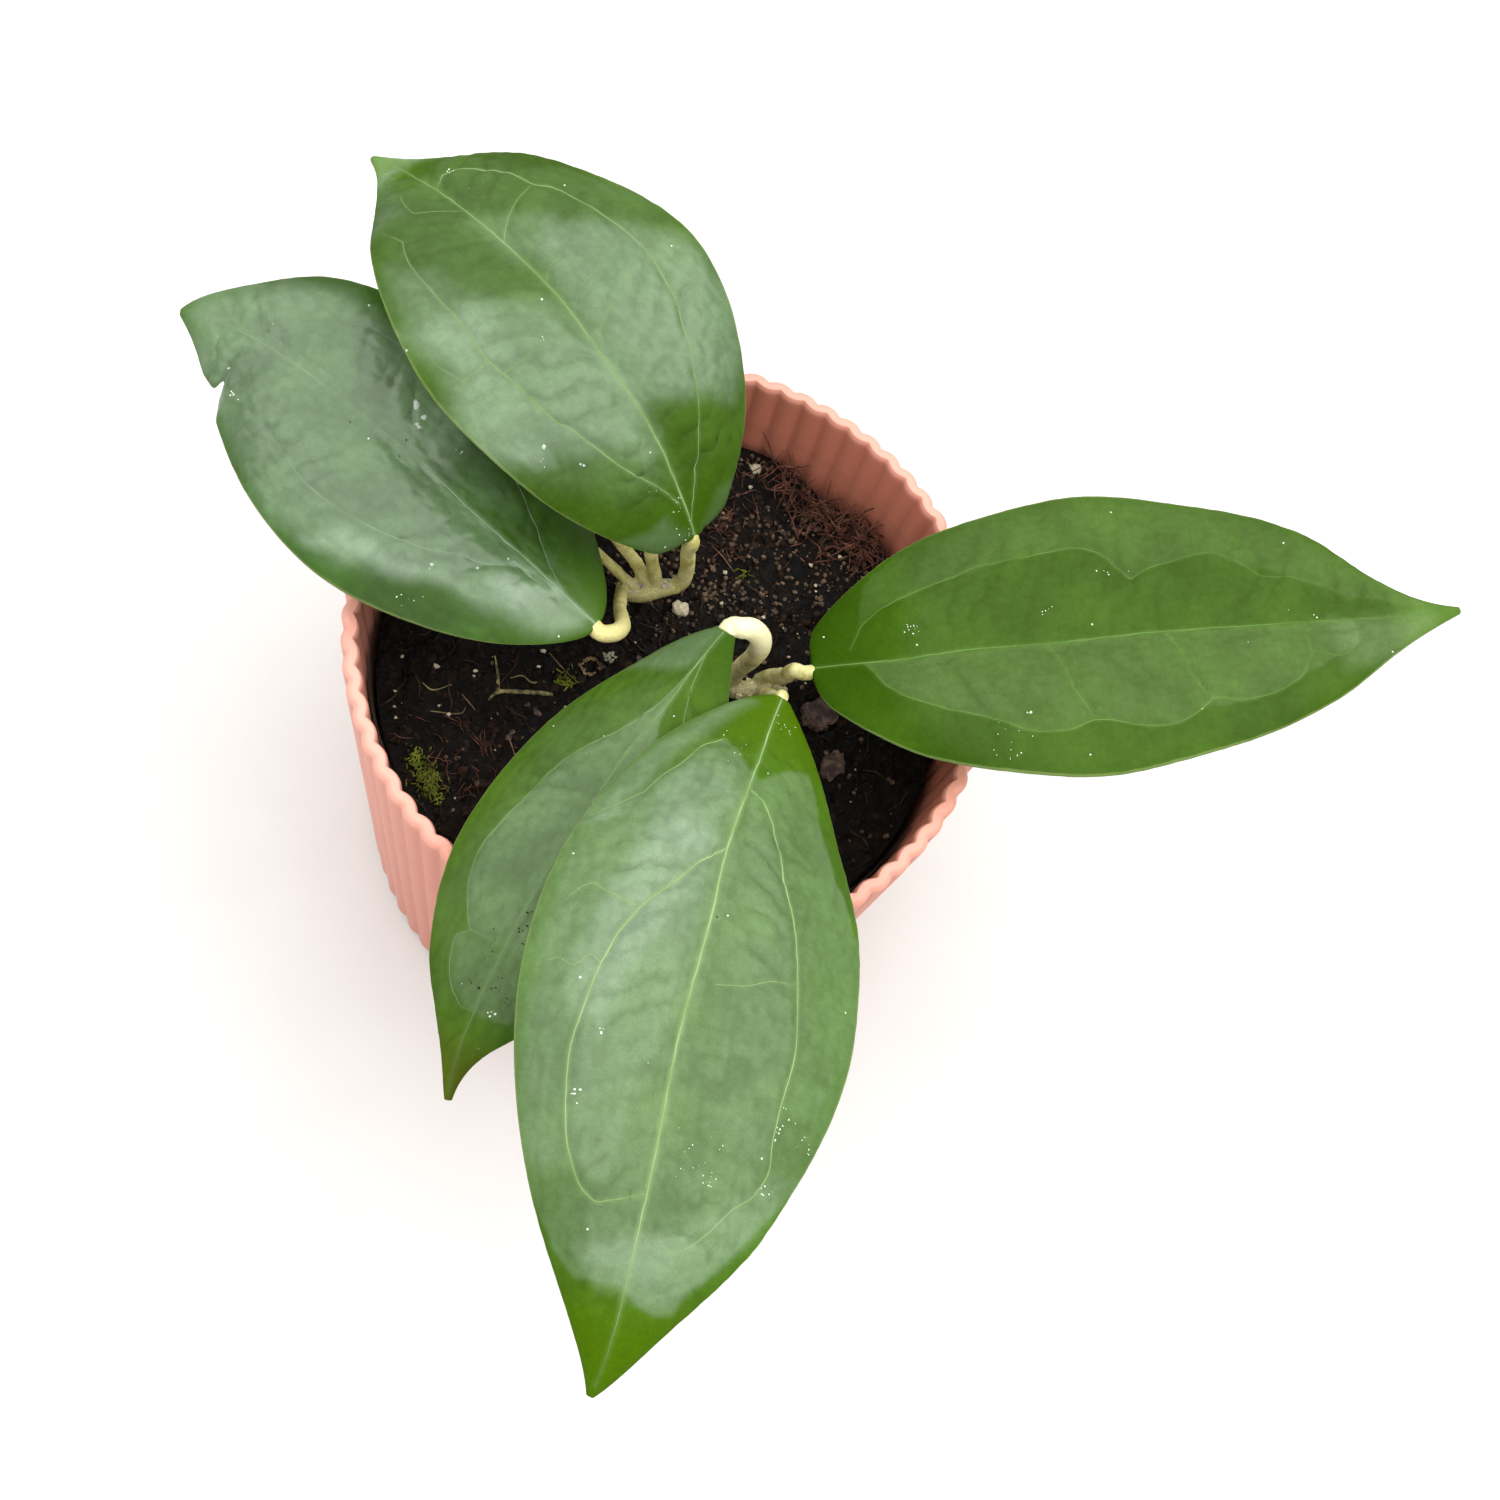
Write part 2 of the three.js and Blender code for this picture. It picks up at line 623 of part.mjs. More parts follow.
function vineSolid(vine, grow = 0) {
  const { x, y, radius } = vine.foot;
  const foot = { points: [[x, y, BURIED_FOOT], [x, y, 60], [x, y, 75]], radii: [radius - 0.8, radius, radius] };
  const parts = [
    stemSolid(vine.crust, 8, grow),
    stemSolid(foot, 3, grow),
    ...vine.stems.map((stem) => stemSolid(stem, 8, grow)),
    ...vine.petioles.map((petiole) => stemSolid(petioleRoute(petiole), 18, grow)),
  ];
  return parts.reduce((whole, part) => whole.add(part));
}

// A flat flake of bark: a seven-sided slab with a narrower top and bottom, dipping a little
function barkSolid(chip, grow = 0) {
  const [length, width, thickness] = chip.size;
  const sides = 7;
  const lean = new THREE.Euler(rad(chip.tilt), rad(chip.tilt / 2), rad(chip.turn));
  const seat = new THREE.Vector3(chip.x, chip.y, soilHeight(chip.x, chip.y) + 0.15 * thickness);
  const ringAt = (share, z) => Array.from({ length: sides }, (_, j) => {
    const angle = (2 * Math.PI * j) / sides;
    const ragged = share * (1 + 0.12 * Math.sin(5 * j + chip.turn));
    const x = (length * ragged / 2 + grow) * Math.cos(angle);
    const y = (width * ragged / 2 + grow) * Math.sin(angle);
    return new THREE.Vector3(x, y, z).applyEuler(lean).add(seat);
  });
  const rings = [ringAt(0.85, -thickness / 2 - grow), ringAt(1, thickness / 10), ringAt(0.8, thickness / 2 + grow)];
  return solidOf(turnedOut(loft(rings)));
}

// A rounded lump of perlite: a dented ball
function perliteSolid(lump, grow = 0) {
  const ball = new THREE.IcosahedronGeometry(1, 1);
  const position = ball.attributes.position;
  const [length, width, height] = lump.size;
  const seat = soilHeight(lump.x, lump.y) + 0.2 * height;
  for (let i = 0; i < position.count; i += 1) {
    const [x, y, z] = [position.getX(i), position.getY(i), position.getZ(i)];
    const dent = (1 + 0.12 * Math.sin(7 * x + 5 * y + 3 * z)) / 2;
    position.setXYZ(
      i,
      lump.x + x * (length * dent + grow),
      lump.y + y * (width * dent + grow),
      seat + z * (height * dent + grow),
    );
  }
  return solidOf(ball);
}

// A forked dry root lying on the soil
function rootSolid(grow = 0) {
  const onSoil = ({ points, radii }) => ({
    points: points.map(([x, y]) => [x, y, soilHeight(x, y) + DRY_ROOT.lift]),
    radii,
  });
  return stemSolid(onSoil(DRY_ROOT.stem), 10, grow, 7).add(stemSolid(onSoil(DRY_ROOT.fork), 6, grow, 7));
}

function material(color, roughness) {
  return new THREE.MeshStandardMaterial({ color, roughness, metalness: 0 });
}

const FINISH = {
  pot: material(0xe79a84, 0.5),
  liner: material(0x8c4f42, 0.35),
  soil: material(0x2b201b, 0.95),
  leaf: material(0x5c8050, 0.4),
  vine: material(0xb5b083, 0.6),
  bark: material(0x54403a, 0.85),
  perlite: material(0xe6e1da, 0.9),
  root: material(0x9a916c, 0.8),
};

const plant = new THREE.Group();

function place(name, solid, finish) {
  const mesh = new THREE.Mesh(geometryOf(solid), finish);
  mesh.name = name;
  plant.add(mesh);
  return mesh;
}

place('pot', potSolid(), FINISH.pot);
place('nursery_pot', linerSolid(), FINISH.liner);

// What lies on the soil or grows from it, each made to its own size or a little wider for its seat
const rooted = [
  ...[VINE_LEFT, VINE_RIGHT].map((vine) => ({ ...vine, make: (grow) => vineSolid(vine, grow), finish: FINISH.vine })),
  ...BARK_CHIPS.map((chip) => ({ ...chip, make: (grow) => barkSolid(chip, grow), finish: FINISH.bark })),
  ...PERLITE_LUMPS.map((lump) => ({ ...lump, make: (grow) => perliteSolid(lump, grow), finish: FINISH.perlite })),
  { ...DRY_ROOT, make: rootSolid, finish: FINISH.root },
];
let soil = soilSolid();
for (const { name, make, finish } of rooted) {
  place(name, make(0), finish);
  soil = soil.subtract(make(SEAT_GAP));
}
place('soil', soil, FINISH.soil);

for (const leaf of LEAVES) {
  const blade = place(leaf.name, leafSolid(leaf), FINISH.leaf);
  blade.position.set(...leaf.base);
  blade.rotation.z = rad(leaf.heading[0]);
}

export default plant;
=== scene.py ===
# %% [markdown]
# A young hoya in a fluted pot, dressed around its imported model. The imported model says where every
# piece is, so each finer piece is made from the same driving sizes and lands in the same place.

# %% Load the frame
import math

import bmesh
import bpy
import numpy as np
from mathutils import Matrix, Vector, noise


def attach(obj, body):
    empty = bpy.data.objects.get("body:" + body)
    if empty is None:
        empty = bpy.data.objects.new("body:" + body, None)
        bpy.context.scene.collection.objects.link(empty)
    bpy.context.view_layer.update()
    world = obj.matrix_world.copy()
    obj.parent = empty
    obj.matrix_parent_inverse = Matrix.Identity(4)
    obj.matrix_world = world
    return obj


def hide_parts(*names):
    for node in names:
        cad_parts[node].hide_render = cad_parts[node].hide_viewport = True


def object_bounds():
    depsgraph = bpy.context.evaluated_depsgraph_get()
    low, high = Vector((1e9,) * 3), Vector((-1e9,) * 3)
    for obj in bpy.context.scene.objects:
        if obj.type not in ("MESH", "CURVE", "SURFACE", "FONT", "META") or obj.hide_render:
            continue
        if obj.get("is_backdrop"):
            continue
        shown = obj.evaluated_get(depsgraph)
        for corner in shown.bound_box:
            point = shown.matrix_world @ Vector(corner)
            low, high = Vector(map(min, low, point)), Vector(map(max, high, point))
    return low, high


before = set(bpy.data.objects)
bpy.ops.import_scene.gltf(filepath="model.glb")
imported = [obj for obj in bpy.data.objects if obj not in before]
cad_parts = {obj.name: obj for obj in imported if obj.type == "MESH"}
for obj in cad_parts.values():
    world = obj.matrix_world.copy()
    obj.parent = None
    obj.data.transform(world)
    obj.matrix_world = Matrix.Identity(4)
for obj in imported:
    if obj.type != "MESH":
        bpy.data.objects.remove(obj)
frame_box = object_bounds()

MM = 0.001
scene = bpy.context.scene
print("nodes:", sorted(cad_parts))

# %% [markdown]
# The camera looks down on the plant as a person holding it would. Its three rows are the picture's
# right, down and forward directions, and Blender's camera looks along its own -Z with +Y up.

# %% Camera
CAMERA_PLACE = (0, -0.1614, 0.4248)
PICTURE_RIGHT = (0.9545, 0.2498, 0.1629)
PICTURE_DOWN = (0.2935, -0.8835, -0.3651)
PICTURE_FORWARD = (0.0527, 0.3964, -0.9166)

lens = bpy.data.cameras.new("photo_camera")
lens.lens = 48
lens.sensor_width = 36
lens.clip_start = 0.01
camera = bpy.data.objects.new("photo_camera", lens)
axes = Matrix((PICTURE_RIGHT, -Vector(PICTURE_DOWN), -Vector(PICTURE_FORWARD))).transposed()
camera.matrix_world = Matrix.Translation(CAMERA_PLACE) @ axes.to_4x4()
scene.collection.objects.link(camera)
scene.camera = camera
print("camera at", tuple(camera.location))

# %% [markdown]
# Waxy leaves show what hangs above them more than their own colour, so the light matters most of all.
# A very wide, even sky gives the pale sheen, a darker ring near the horizon leaves the blades' bent
# feet and tips green, and one large soft panel gives the whole plant a side.

# %% Light and floor
SKY_HIGH = 2.6
SKY_LOW = 0.3
PANEL_POWER = 5
FLOOR_SIZE = 80


def add(tree, kind, settings=(), inputs=()):
    """Adds one node with its settings, and gives its inputs their values or links."""
    made = tree.nodes.new(kind)
    for key, value in dict(settings).items():
        setattr(made, key, value)
    for key, value in dict(inputs).items():
        if isinstance(value, bpy.types.NodeSocket):
            tree.links.new(value, made.inputs[key])
        else:
            made.inputs[key].default_value = value
    return made


world = bpy.data.worlds.new("studio")
world.use_nodes = True
world.node_tree.nodes.clear()
sky = world.node_tree
coords = add(sky, "ShaderNodeTexCoord")
split = add(sky, "ShaderNodeSeparateXYZ", {}, {0: coords.outputs["Generated"]})
climb = add(sky, "ShaderNodeMapRange", {"interpolation_type": "SMOOTHSTEP"},
            {"Value": split.outputs["Z"], "From Min": 0.15, "From Max": 0.75, "To Min": SKY_LOW,
             "To Max": SKY_HIGH})
# A narrow pale haze at the horizon hides where the floor ends
haze = add(sky, "ShaderNodeMapRange", {"interpolation_type": "SMOOTHSTEP"},
           {"Value": split.outputs["Z"], "From Min": 0.02, "From Max": 0.07, "To Min": 1.2, "To Max": 0.0})
bright = add(sky, "ShaderNodeMath", {"operation": "MAXIMUM"}, {0: climb.outputs[0], 1: haze.outputs[0]})
glow = add(sky, "ShaderNodeBackground", {}, {"Color": (1, 1, 1, 1), "Strength": bright.outputs[0]})
add(sky, "ShaderNodeOutputWorld", {}, {"Surface": glow.outputs[0]})
scene.world = world

panel = bpy.data.lights.new("soft_panel", "AREA")
panel.shape = "RECTANGLE"
panel.size = 0.9
panel.size_y = 0.9
panel.energy = PANEL_POWER
panel_object = bpy.data.objects.new("soft_panel", panel)
panel_object.location = (0.62, 0.36, 0.95)
toward_plant = Vector((0, 0, 0.08)) - panel_object.location
panel_object.rotation_euler = toward_plant.to_track_quat("-Z", "Y").to_euler()
scene.collection.objects.link(panel_object)
scene.view_settings.view_transform = "Standard"


def colour(hex_code):
    """An sRGB hex colour as linear values, with alpha 1."""
    parts = [int(hex_code[i:i + 2], 16) / 255 for i in (1, 3, 5)]
    return tuple(c / 12.92 if c <= 0.04045 else ((c + 0.055) / 1.055) ** 2.4 for c in parts) + (1,)


def new_material(name):
    """An empty node material, with its output and a Principled shader, and what a pattern needs."""
    made = bpy.data.materials.new(name)
    made.use_nodes = True
    tree = made.node_tree
    tree.nodes.clear()
    shader = add(tree, "ShaderNodeBsdfPrincipled")
    add(tree, "ShaderNodeOutputMaterial", {}, {"Surface": shader.outputs[0]})
    place = add(tree, "ShaderNodeTexCoord").outputs["Object"]
    return made, tree, shader, place


# Painted board: matte and even, so that nothing but soft shadow shows on it
board, tree, shader, place = new_material("painted_board")
grain = add(tree, "ShaderNodeTexNoise", {}, {"Vector": place, "Scale": 40})
tone = add(tree, "ShaderNodeMix", {"data_type": "RGBA"},
           {0: grain.outputs[0], 6: colour("#c6c5c3"), 7: colour("#cccbc9")})
tree.links.new(tone.outputs[2], shader.inputs["Base Color"])
shader.inputs["Roughness"].default_value = 0.9

floor_mesh = bpy.data.meshes.new("floor")
half = FLOOR_SIZE / 2
floor_mesh.from_pydata([(-half, -half, 0), (half, -half, 0), (half, half, 0), (-half, half, 0)], [],
                       [(0, 1, 2, 3)])
floor = bpy.data.objects.new("floor", floor_mesh)
floor.data.materials.append(board)
scene.collection.objects.link(floor)
floor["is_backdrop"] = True
print("sky", SKY_LOW, "to", SKY_HIGH, "and a panel of", PANEL_POWER, "W")

# %% [markdown]
# Every piece starts as points in millimetres. Two helpers turn them into a mesh: one takes any faces,
# and one closes a row of rings into a skin, which suits blades, stems and turned walls alike.

# %% From points to pieces
def piece(name, points, faces, material, values=(), maps=(), smooth=True):
    """A mesh piece from points in millimetres. values are per-point numbers, maps are per-point UVs."""
    mesh = bpy.data.meshes.new(name)
    mesh.from_pydata((np.asarray(points) * MM).tolist(), [],
                     faces if isinstance(faces, list) else faces.tolist())
    corner = np.zeros(len(mesh.loops), dtype=np.int32)
    mesh.loops.foreach_get("vertex_index", corner)
    for key, numbers in dict(values).items():
        layer = mesh.attributes.new(key, "FLOAT", "POINT")
        layer.data.foreach_set("value", np.asarray(numbers, dtype=np.float32))
    for key, pairs in dict(maps).items():
        layer = mesh.uv_layers.new(name=key)
        layer.data.foreach_set("uv", np.asarray(pairs, dtype=np.float32)[corner].ravel())
    mesh.materials.append(material)
    if smooth:
        mesh.shade_smooth()
    made = bpy.data.objects.new(name, mesh)
    scene.collection.objects.link(made)
    return made


def ring_faces(rings, sides, close_ends=True, first=0):
    """Faces of a skin through rings of points, each ring closed on itself, the ends filled."""
    i, j = np.meshgrid(np.arange(rings - 1), np.arange(sides), indexing="ij")
    a = first + i * sides + j
    b = first + i * sides + (j + 1) % sides
    faces = np.stack([a, b, b + sides, a + sides], -1).reshape(-1, 4).tolist()
    if close_ends:
        faces.append(list(range(first + sides - 1, first - 1, -1)))
        faces.append([first + (rings - 1) * sides + k for k in range(sides)])
    return faces


def turn_out(made):
    """Turns the faces of a closed piece outwards."""
    mesh = made.data
    shell = bmesh.new()
    shell.from_mesh(mesh)
    bmesh.ops.recalc_face_normals(shell, faces=shell.faces)
    shell.to_mesh(mesh)
    shell.free()
    return made


def finish_piece(made, slot, *nodes):
    """Attaches a finished piece to what it rides on and hides the imported nodes that it stands for. slot is
    not used.
    """
    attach(made, "root")
    if nodes:
        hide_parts(*nodes)
    triangles = sum(len(p.vertices) - 2 for p in made.data.polygons)
    print(made.name, "has", triangles, "triangles")


def plain_finish(name, dark, pale, roughness, pitch_mm=0.8):
    """A dull matter that wanders between two tones, with spots of that many millimetres."""
    made, tree, shader, place = new_material(name)
    spots = add(tree, "ShaderNodeTexNoise", {}, {"Vector": place, "Scale": 1000 / pitch_mm / 3, "Detail": 4})
    mix = add(tree, "ShaderNodeMapRange", {},
              {"Value": spots.outputs[0], "From Min": 0.35, "From Max": 0.65})
    tone = add(tree, "ShaderNodeMix", {"data_type": "RGBA"},
               {0: mix.outputs[0], 6: colour(dark), 7: colour(pale)})
    tree.links.new(tone.outputs[2], shader.inputs["Base Color"])
    shader.inputs["Roughness"].default_value = roughness
    shader.inputs["Specular IOR Level"].default_value = 0.12
    bump = add(tree, "ShaderNodeBump", {}, {"Strength": 0.5, "Distance": 0.0002, "Height": spots.outputs[0]})
    tree.links.new(bump.outputs[0], shader.inputs["Normal"])
    return made


# %% [markdown]
# The blades. Each one is a sheet along a bending midrib: a share u runs from foot to tip, and a share v
# from the right margin to the left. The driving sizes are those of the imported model, so the fine blade
# lies in the same place as the plain one, and only finer relief is laid over it.

# %% Sizes of the blades
THICKNESS, EDGE_THICKNESS = 1.3, 0.8
MIDRIB_THICKNESS, MIDRIB_WIDTH = 1.7, 2.2
FOOT_HALF_WIDTH, TIP_HALF_WIDTH = 2, 0.5
ROWS, COLUMNS, UNDER_COLUMNS = 240, 141, 31

LEAVES = {
    "leaf_top": dict(
        base=(-2.2, 14.6, 104), length=104, heading=(146, 148), hook=0, pitch=(62, 3, -34), roll=(1, -1),
        half_width=(28.5, 29.5), fullness=(0.8, 0.9), taper=(1.02, 1.12), squeeze=(0.5, 0.45),
        cup=9, curl=-14, lobes=(3, 4.5), phase=0.4,
        dimples=[(0.3, 0.7, 0.55, 2.6), (0.13, 0.45, 0.2, 3), (0.48, 0.3, 0.2, 2.5),
                 (0.6, 0.62, 0.25, 2.2)]),
    "leaf_left": dict(
        base=(-14.3, -5.2, 97), length=98, heading=(159, 157), hook=20, pitch=(18, 7, -28), roll=(8, -24),
        half_width=(26.5, 25.5), fullness=(0.76, 0.72), taper=(0.88, 0.82), squeeze=(0.1, 0.3),
        cup=6, curl=-17, lobes=(0, 1), phase=1.7, notch=(0.838, 0.34, 0.011),
        dimples=[(0.8, 0.42, 0.5, 2.4), (0.78, 0.2, 0.35, 2), (0.25, 0.3, 0.3, 3), (0.34, -0.3, 0.35, 3)]),
    "leaf_right": dict(
        base=(26.3, 0.7, 94), length=120, heading=(20, 18), hook=10, pitch=(15, 12, 3), roll=(-11, -3),
        half_width=(31.5, 27.5), fullness=(0.68, 0.74), taper=(0.98, 1.06), squeeze=(0.6, 0.4),
        cup=11, curl=-12, lobes=(2, 1.5), phase=2.9,
        dimples=[(0.48, 0.4, 0.3, 2.2), (0.32, -0.55, 0.25, 2)]),
    "leaf_front_left": dict(
        base=(8.5, -2, 104), length=98, heading=(-112, -97), hook=20, pitch=(-4, 0, -42), roll=(9, 9),
        half_width=(20.5, 20), fullness=(1.04, 0.98), taper=(1.04, 1.04), squeeze=(0.65, 0.6),
        cup=-5, curl=-14, lobes=(0.5, 3.5), phase=4.1,
        dimples=[(0.6, -0.3, 0.25, 2.5), (0.4, -0.25, 0.2, 2.2)]),
    "leaf_front": dict(
        base=(21.4, -11.3, 103), length=131, heading=(-97, -80), hook=-20, pitch=(26, 7, -44), roll=(-9, 2),
        half_width=(29.5, 27), fullness=(0.9, 0.88), taper=(0.98, 1.04), squeeze=(0.35, 0.05),
        cup=2, curl=-16, lobes=(1, 1.5), phase=5.2,
        dimples=[(0.59, 0.36, 0.55, 2.2), (0.475, -0.25, -0.35, 2), (0.62, 0.26, 0.3, 1.6),
                 (0.68, 0.21, 0.2, 1.2), (0.84, 0.32, -0.8, 4), (0.2, -0.4, 0.3, 2)]),
}
print(len(LEAVES), "blades, the longest", max(leaf["length"] for leaf in LEAVES.values()), "mm")

# %% [markdown]
# A grown blade is never a plane: it bends along its midrib, rolls, cups and curls at the margin. Formulas
# for direction, width and slope at each share give that bend with a few readable numbers for each blade.

# %% The sheet of a blade
def smoothstep(x, low, high):
    """0 below low, 1 above high, and an even, soft rise between them."""
    t = np.clip((x - low) / (high - low), 0, 1)
    return t * t * (3 - 2 * t)


def leaf_axes(leaf, u):
    """Directions at a share u of the length: along the midrib, to the left, and up."""
    start, end = leaf["heading"]
    low, middle, high = leaf["pitch"]
    heading = np.radians(start + (end - start) * u + leaf["hook"] * u ** 12)
    pitch = np.radians(low * (1 - u) * (1 - 2 * u) + 4 * middle * u * (1 - u) + high * u * (2 * u - 1))
    roll = np.radians(leaf["roll"][0] + (leaf["roll"][1] - leaf["roll"][0]) * u)
    along = np.stack([np.cos(pitch) * np.cos(heading), np.cos(pitch) * np.sin(heading), np.sin(pitch)], -1)
    level = np.stack([-np.sin(heading), np.cos(heading), 0 * heading], -1)
    square = np.cross(along, level)
    roll = roll[..., None]
    return along, level * np.cos(roll) + square * np.sin(roll), square * np.cos(roll) - level * np.sin(roll)


def midrib_points(leaf, u, steps=120):
    """Points of the midrib at the shares u."""
    middles = (np.arange(steps) + 0.5) / steps
    walked = np.cumsum(leaf_axes(leaf, middles)[0] * leaf["length"] / steps, axis=0)
    walked = np.vstack([np.zeros(3), walked])
    shares = np.linspace(0, 1, steps + 1)
    return np.stack([np.interp(u, shares, walked[:, k]) for k in range(3)], -1) + np.array(leaf["base"])


def half_width(leaf, u, side):
    """Half the blade's width at u, on the left (side 0) or right (side 1)."""
    a, b = leaf["fullness"][side], leaf["taper"][side]
    peak = (a / (a + b)) ** a * (b / (a + b)) ** b
    squeeze = 1 - leaf["squeeze"][side] * smoothstep(u, 0.78, 1)
    width = leaf["half_width"][side] * squeeze * u ** a * (1 - u) ** b / peak
    if "notch" in leaf and side == 0:
        at, depth, reach = leaf["notch"]
        away = np.abs(u - at) / (reach * np.where(u > at, 2.2, 1))
        bite = 0.6 * (1 - smoothstep(away, 0.3, 1)) + 0.4 * (1 - smoothstep(away, 0.3, 2.8))
        width = width * (1 - depth * bite)
    return width + FOOT_HALF_WIDTH * (1 - u) ** 10 + TIP_HALF_WIDTH * u ** 10


def flat_place(leaf, u, v):
    """Where (u, v) lies on the blade pressed flat: millimetres to the left, and along."""
    width = np.where(v >= 0, half_width(leaf, u, 0), half_width(leaf, u, 1))
    return np.stack([v * width, u * leaf["length"]], -1)
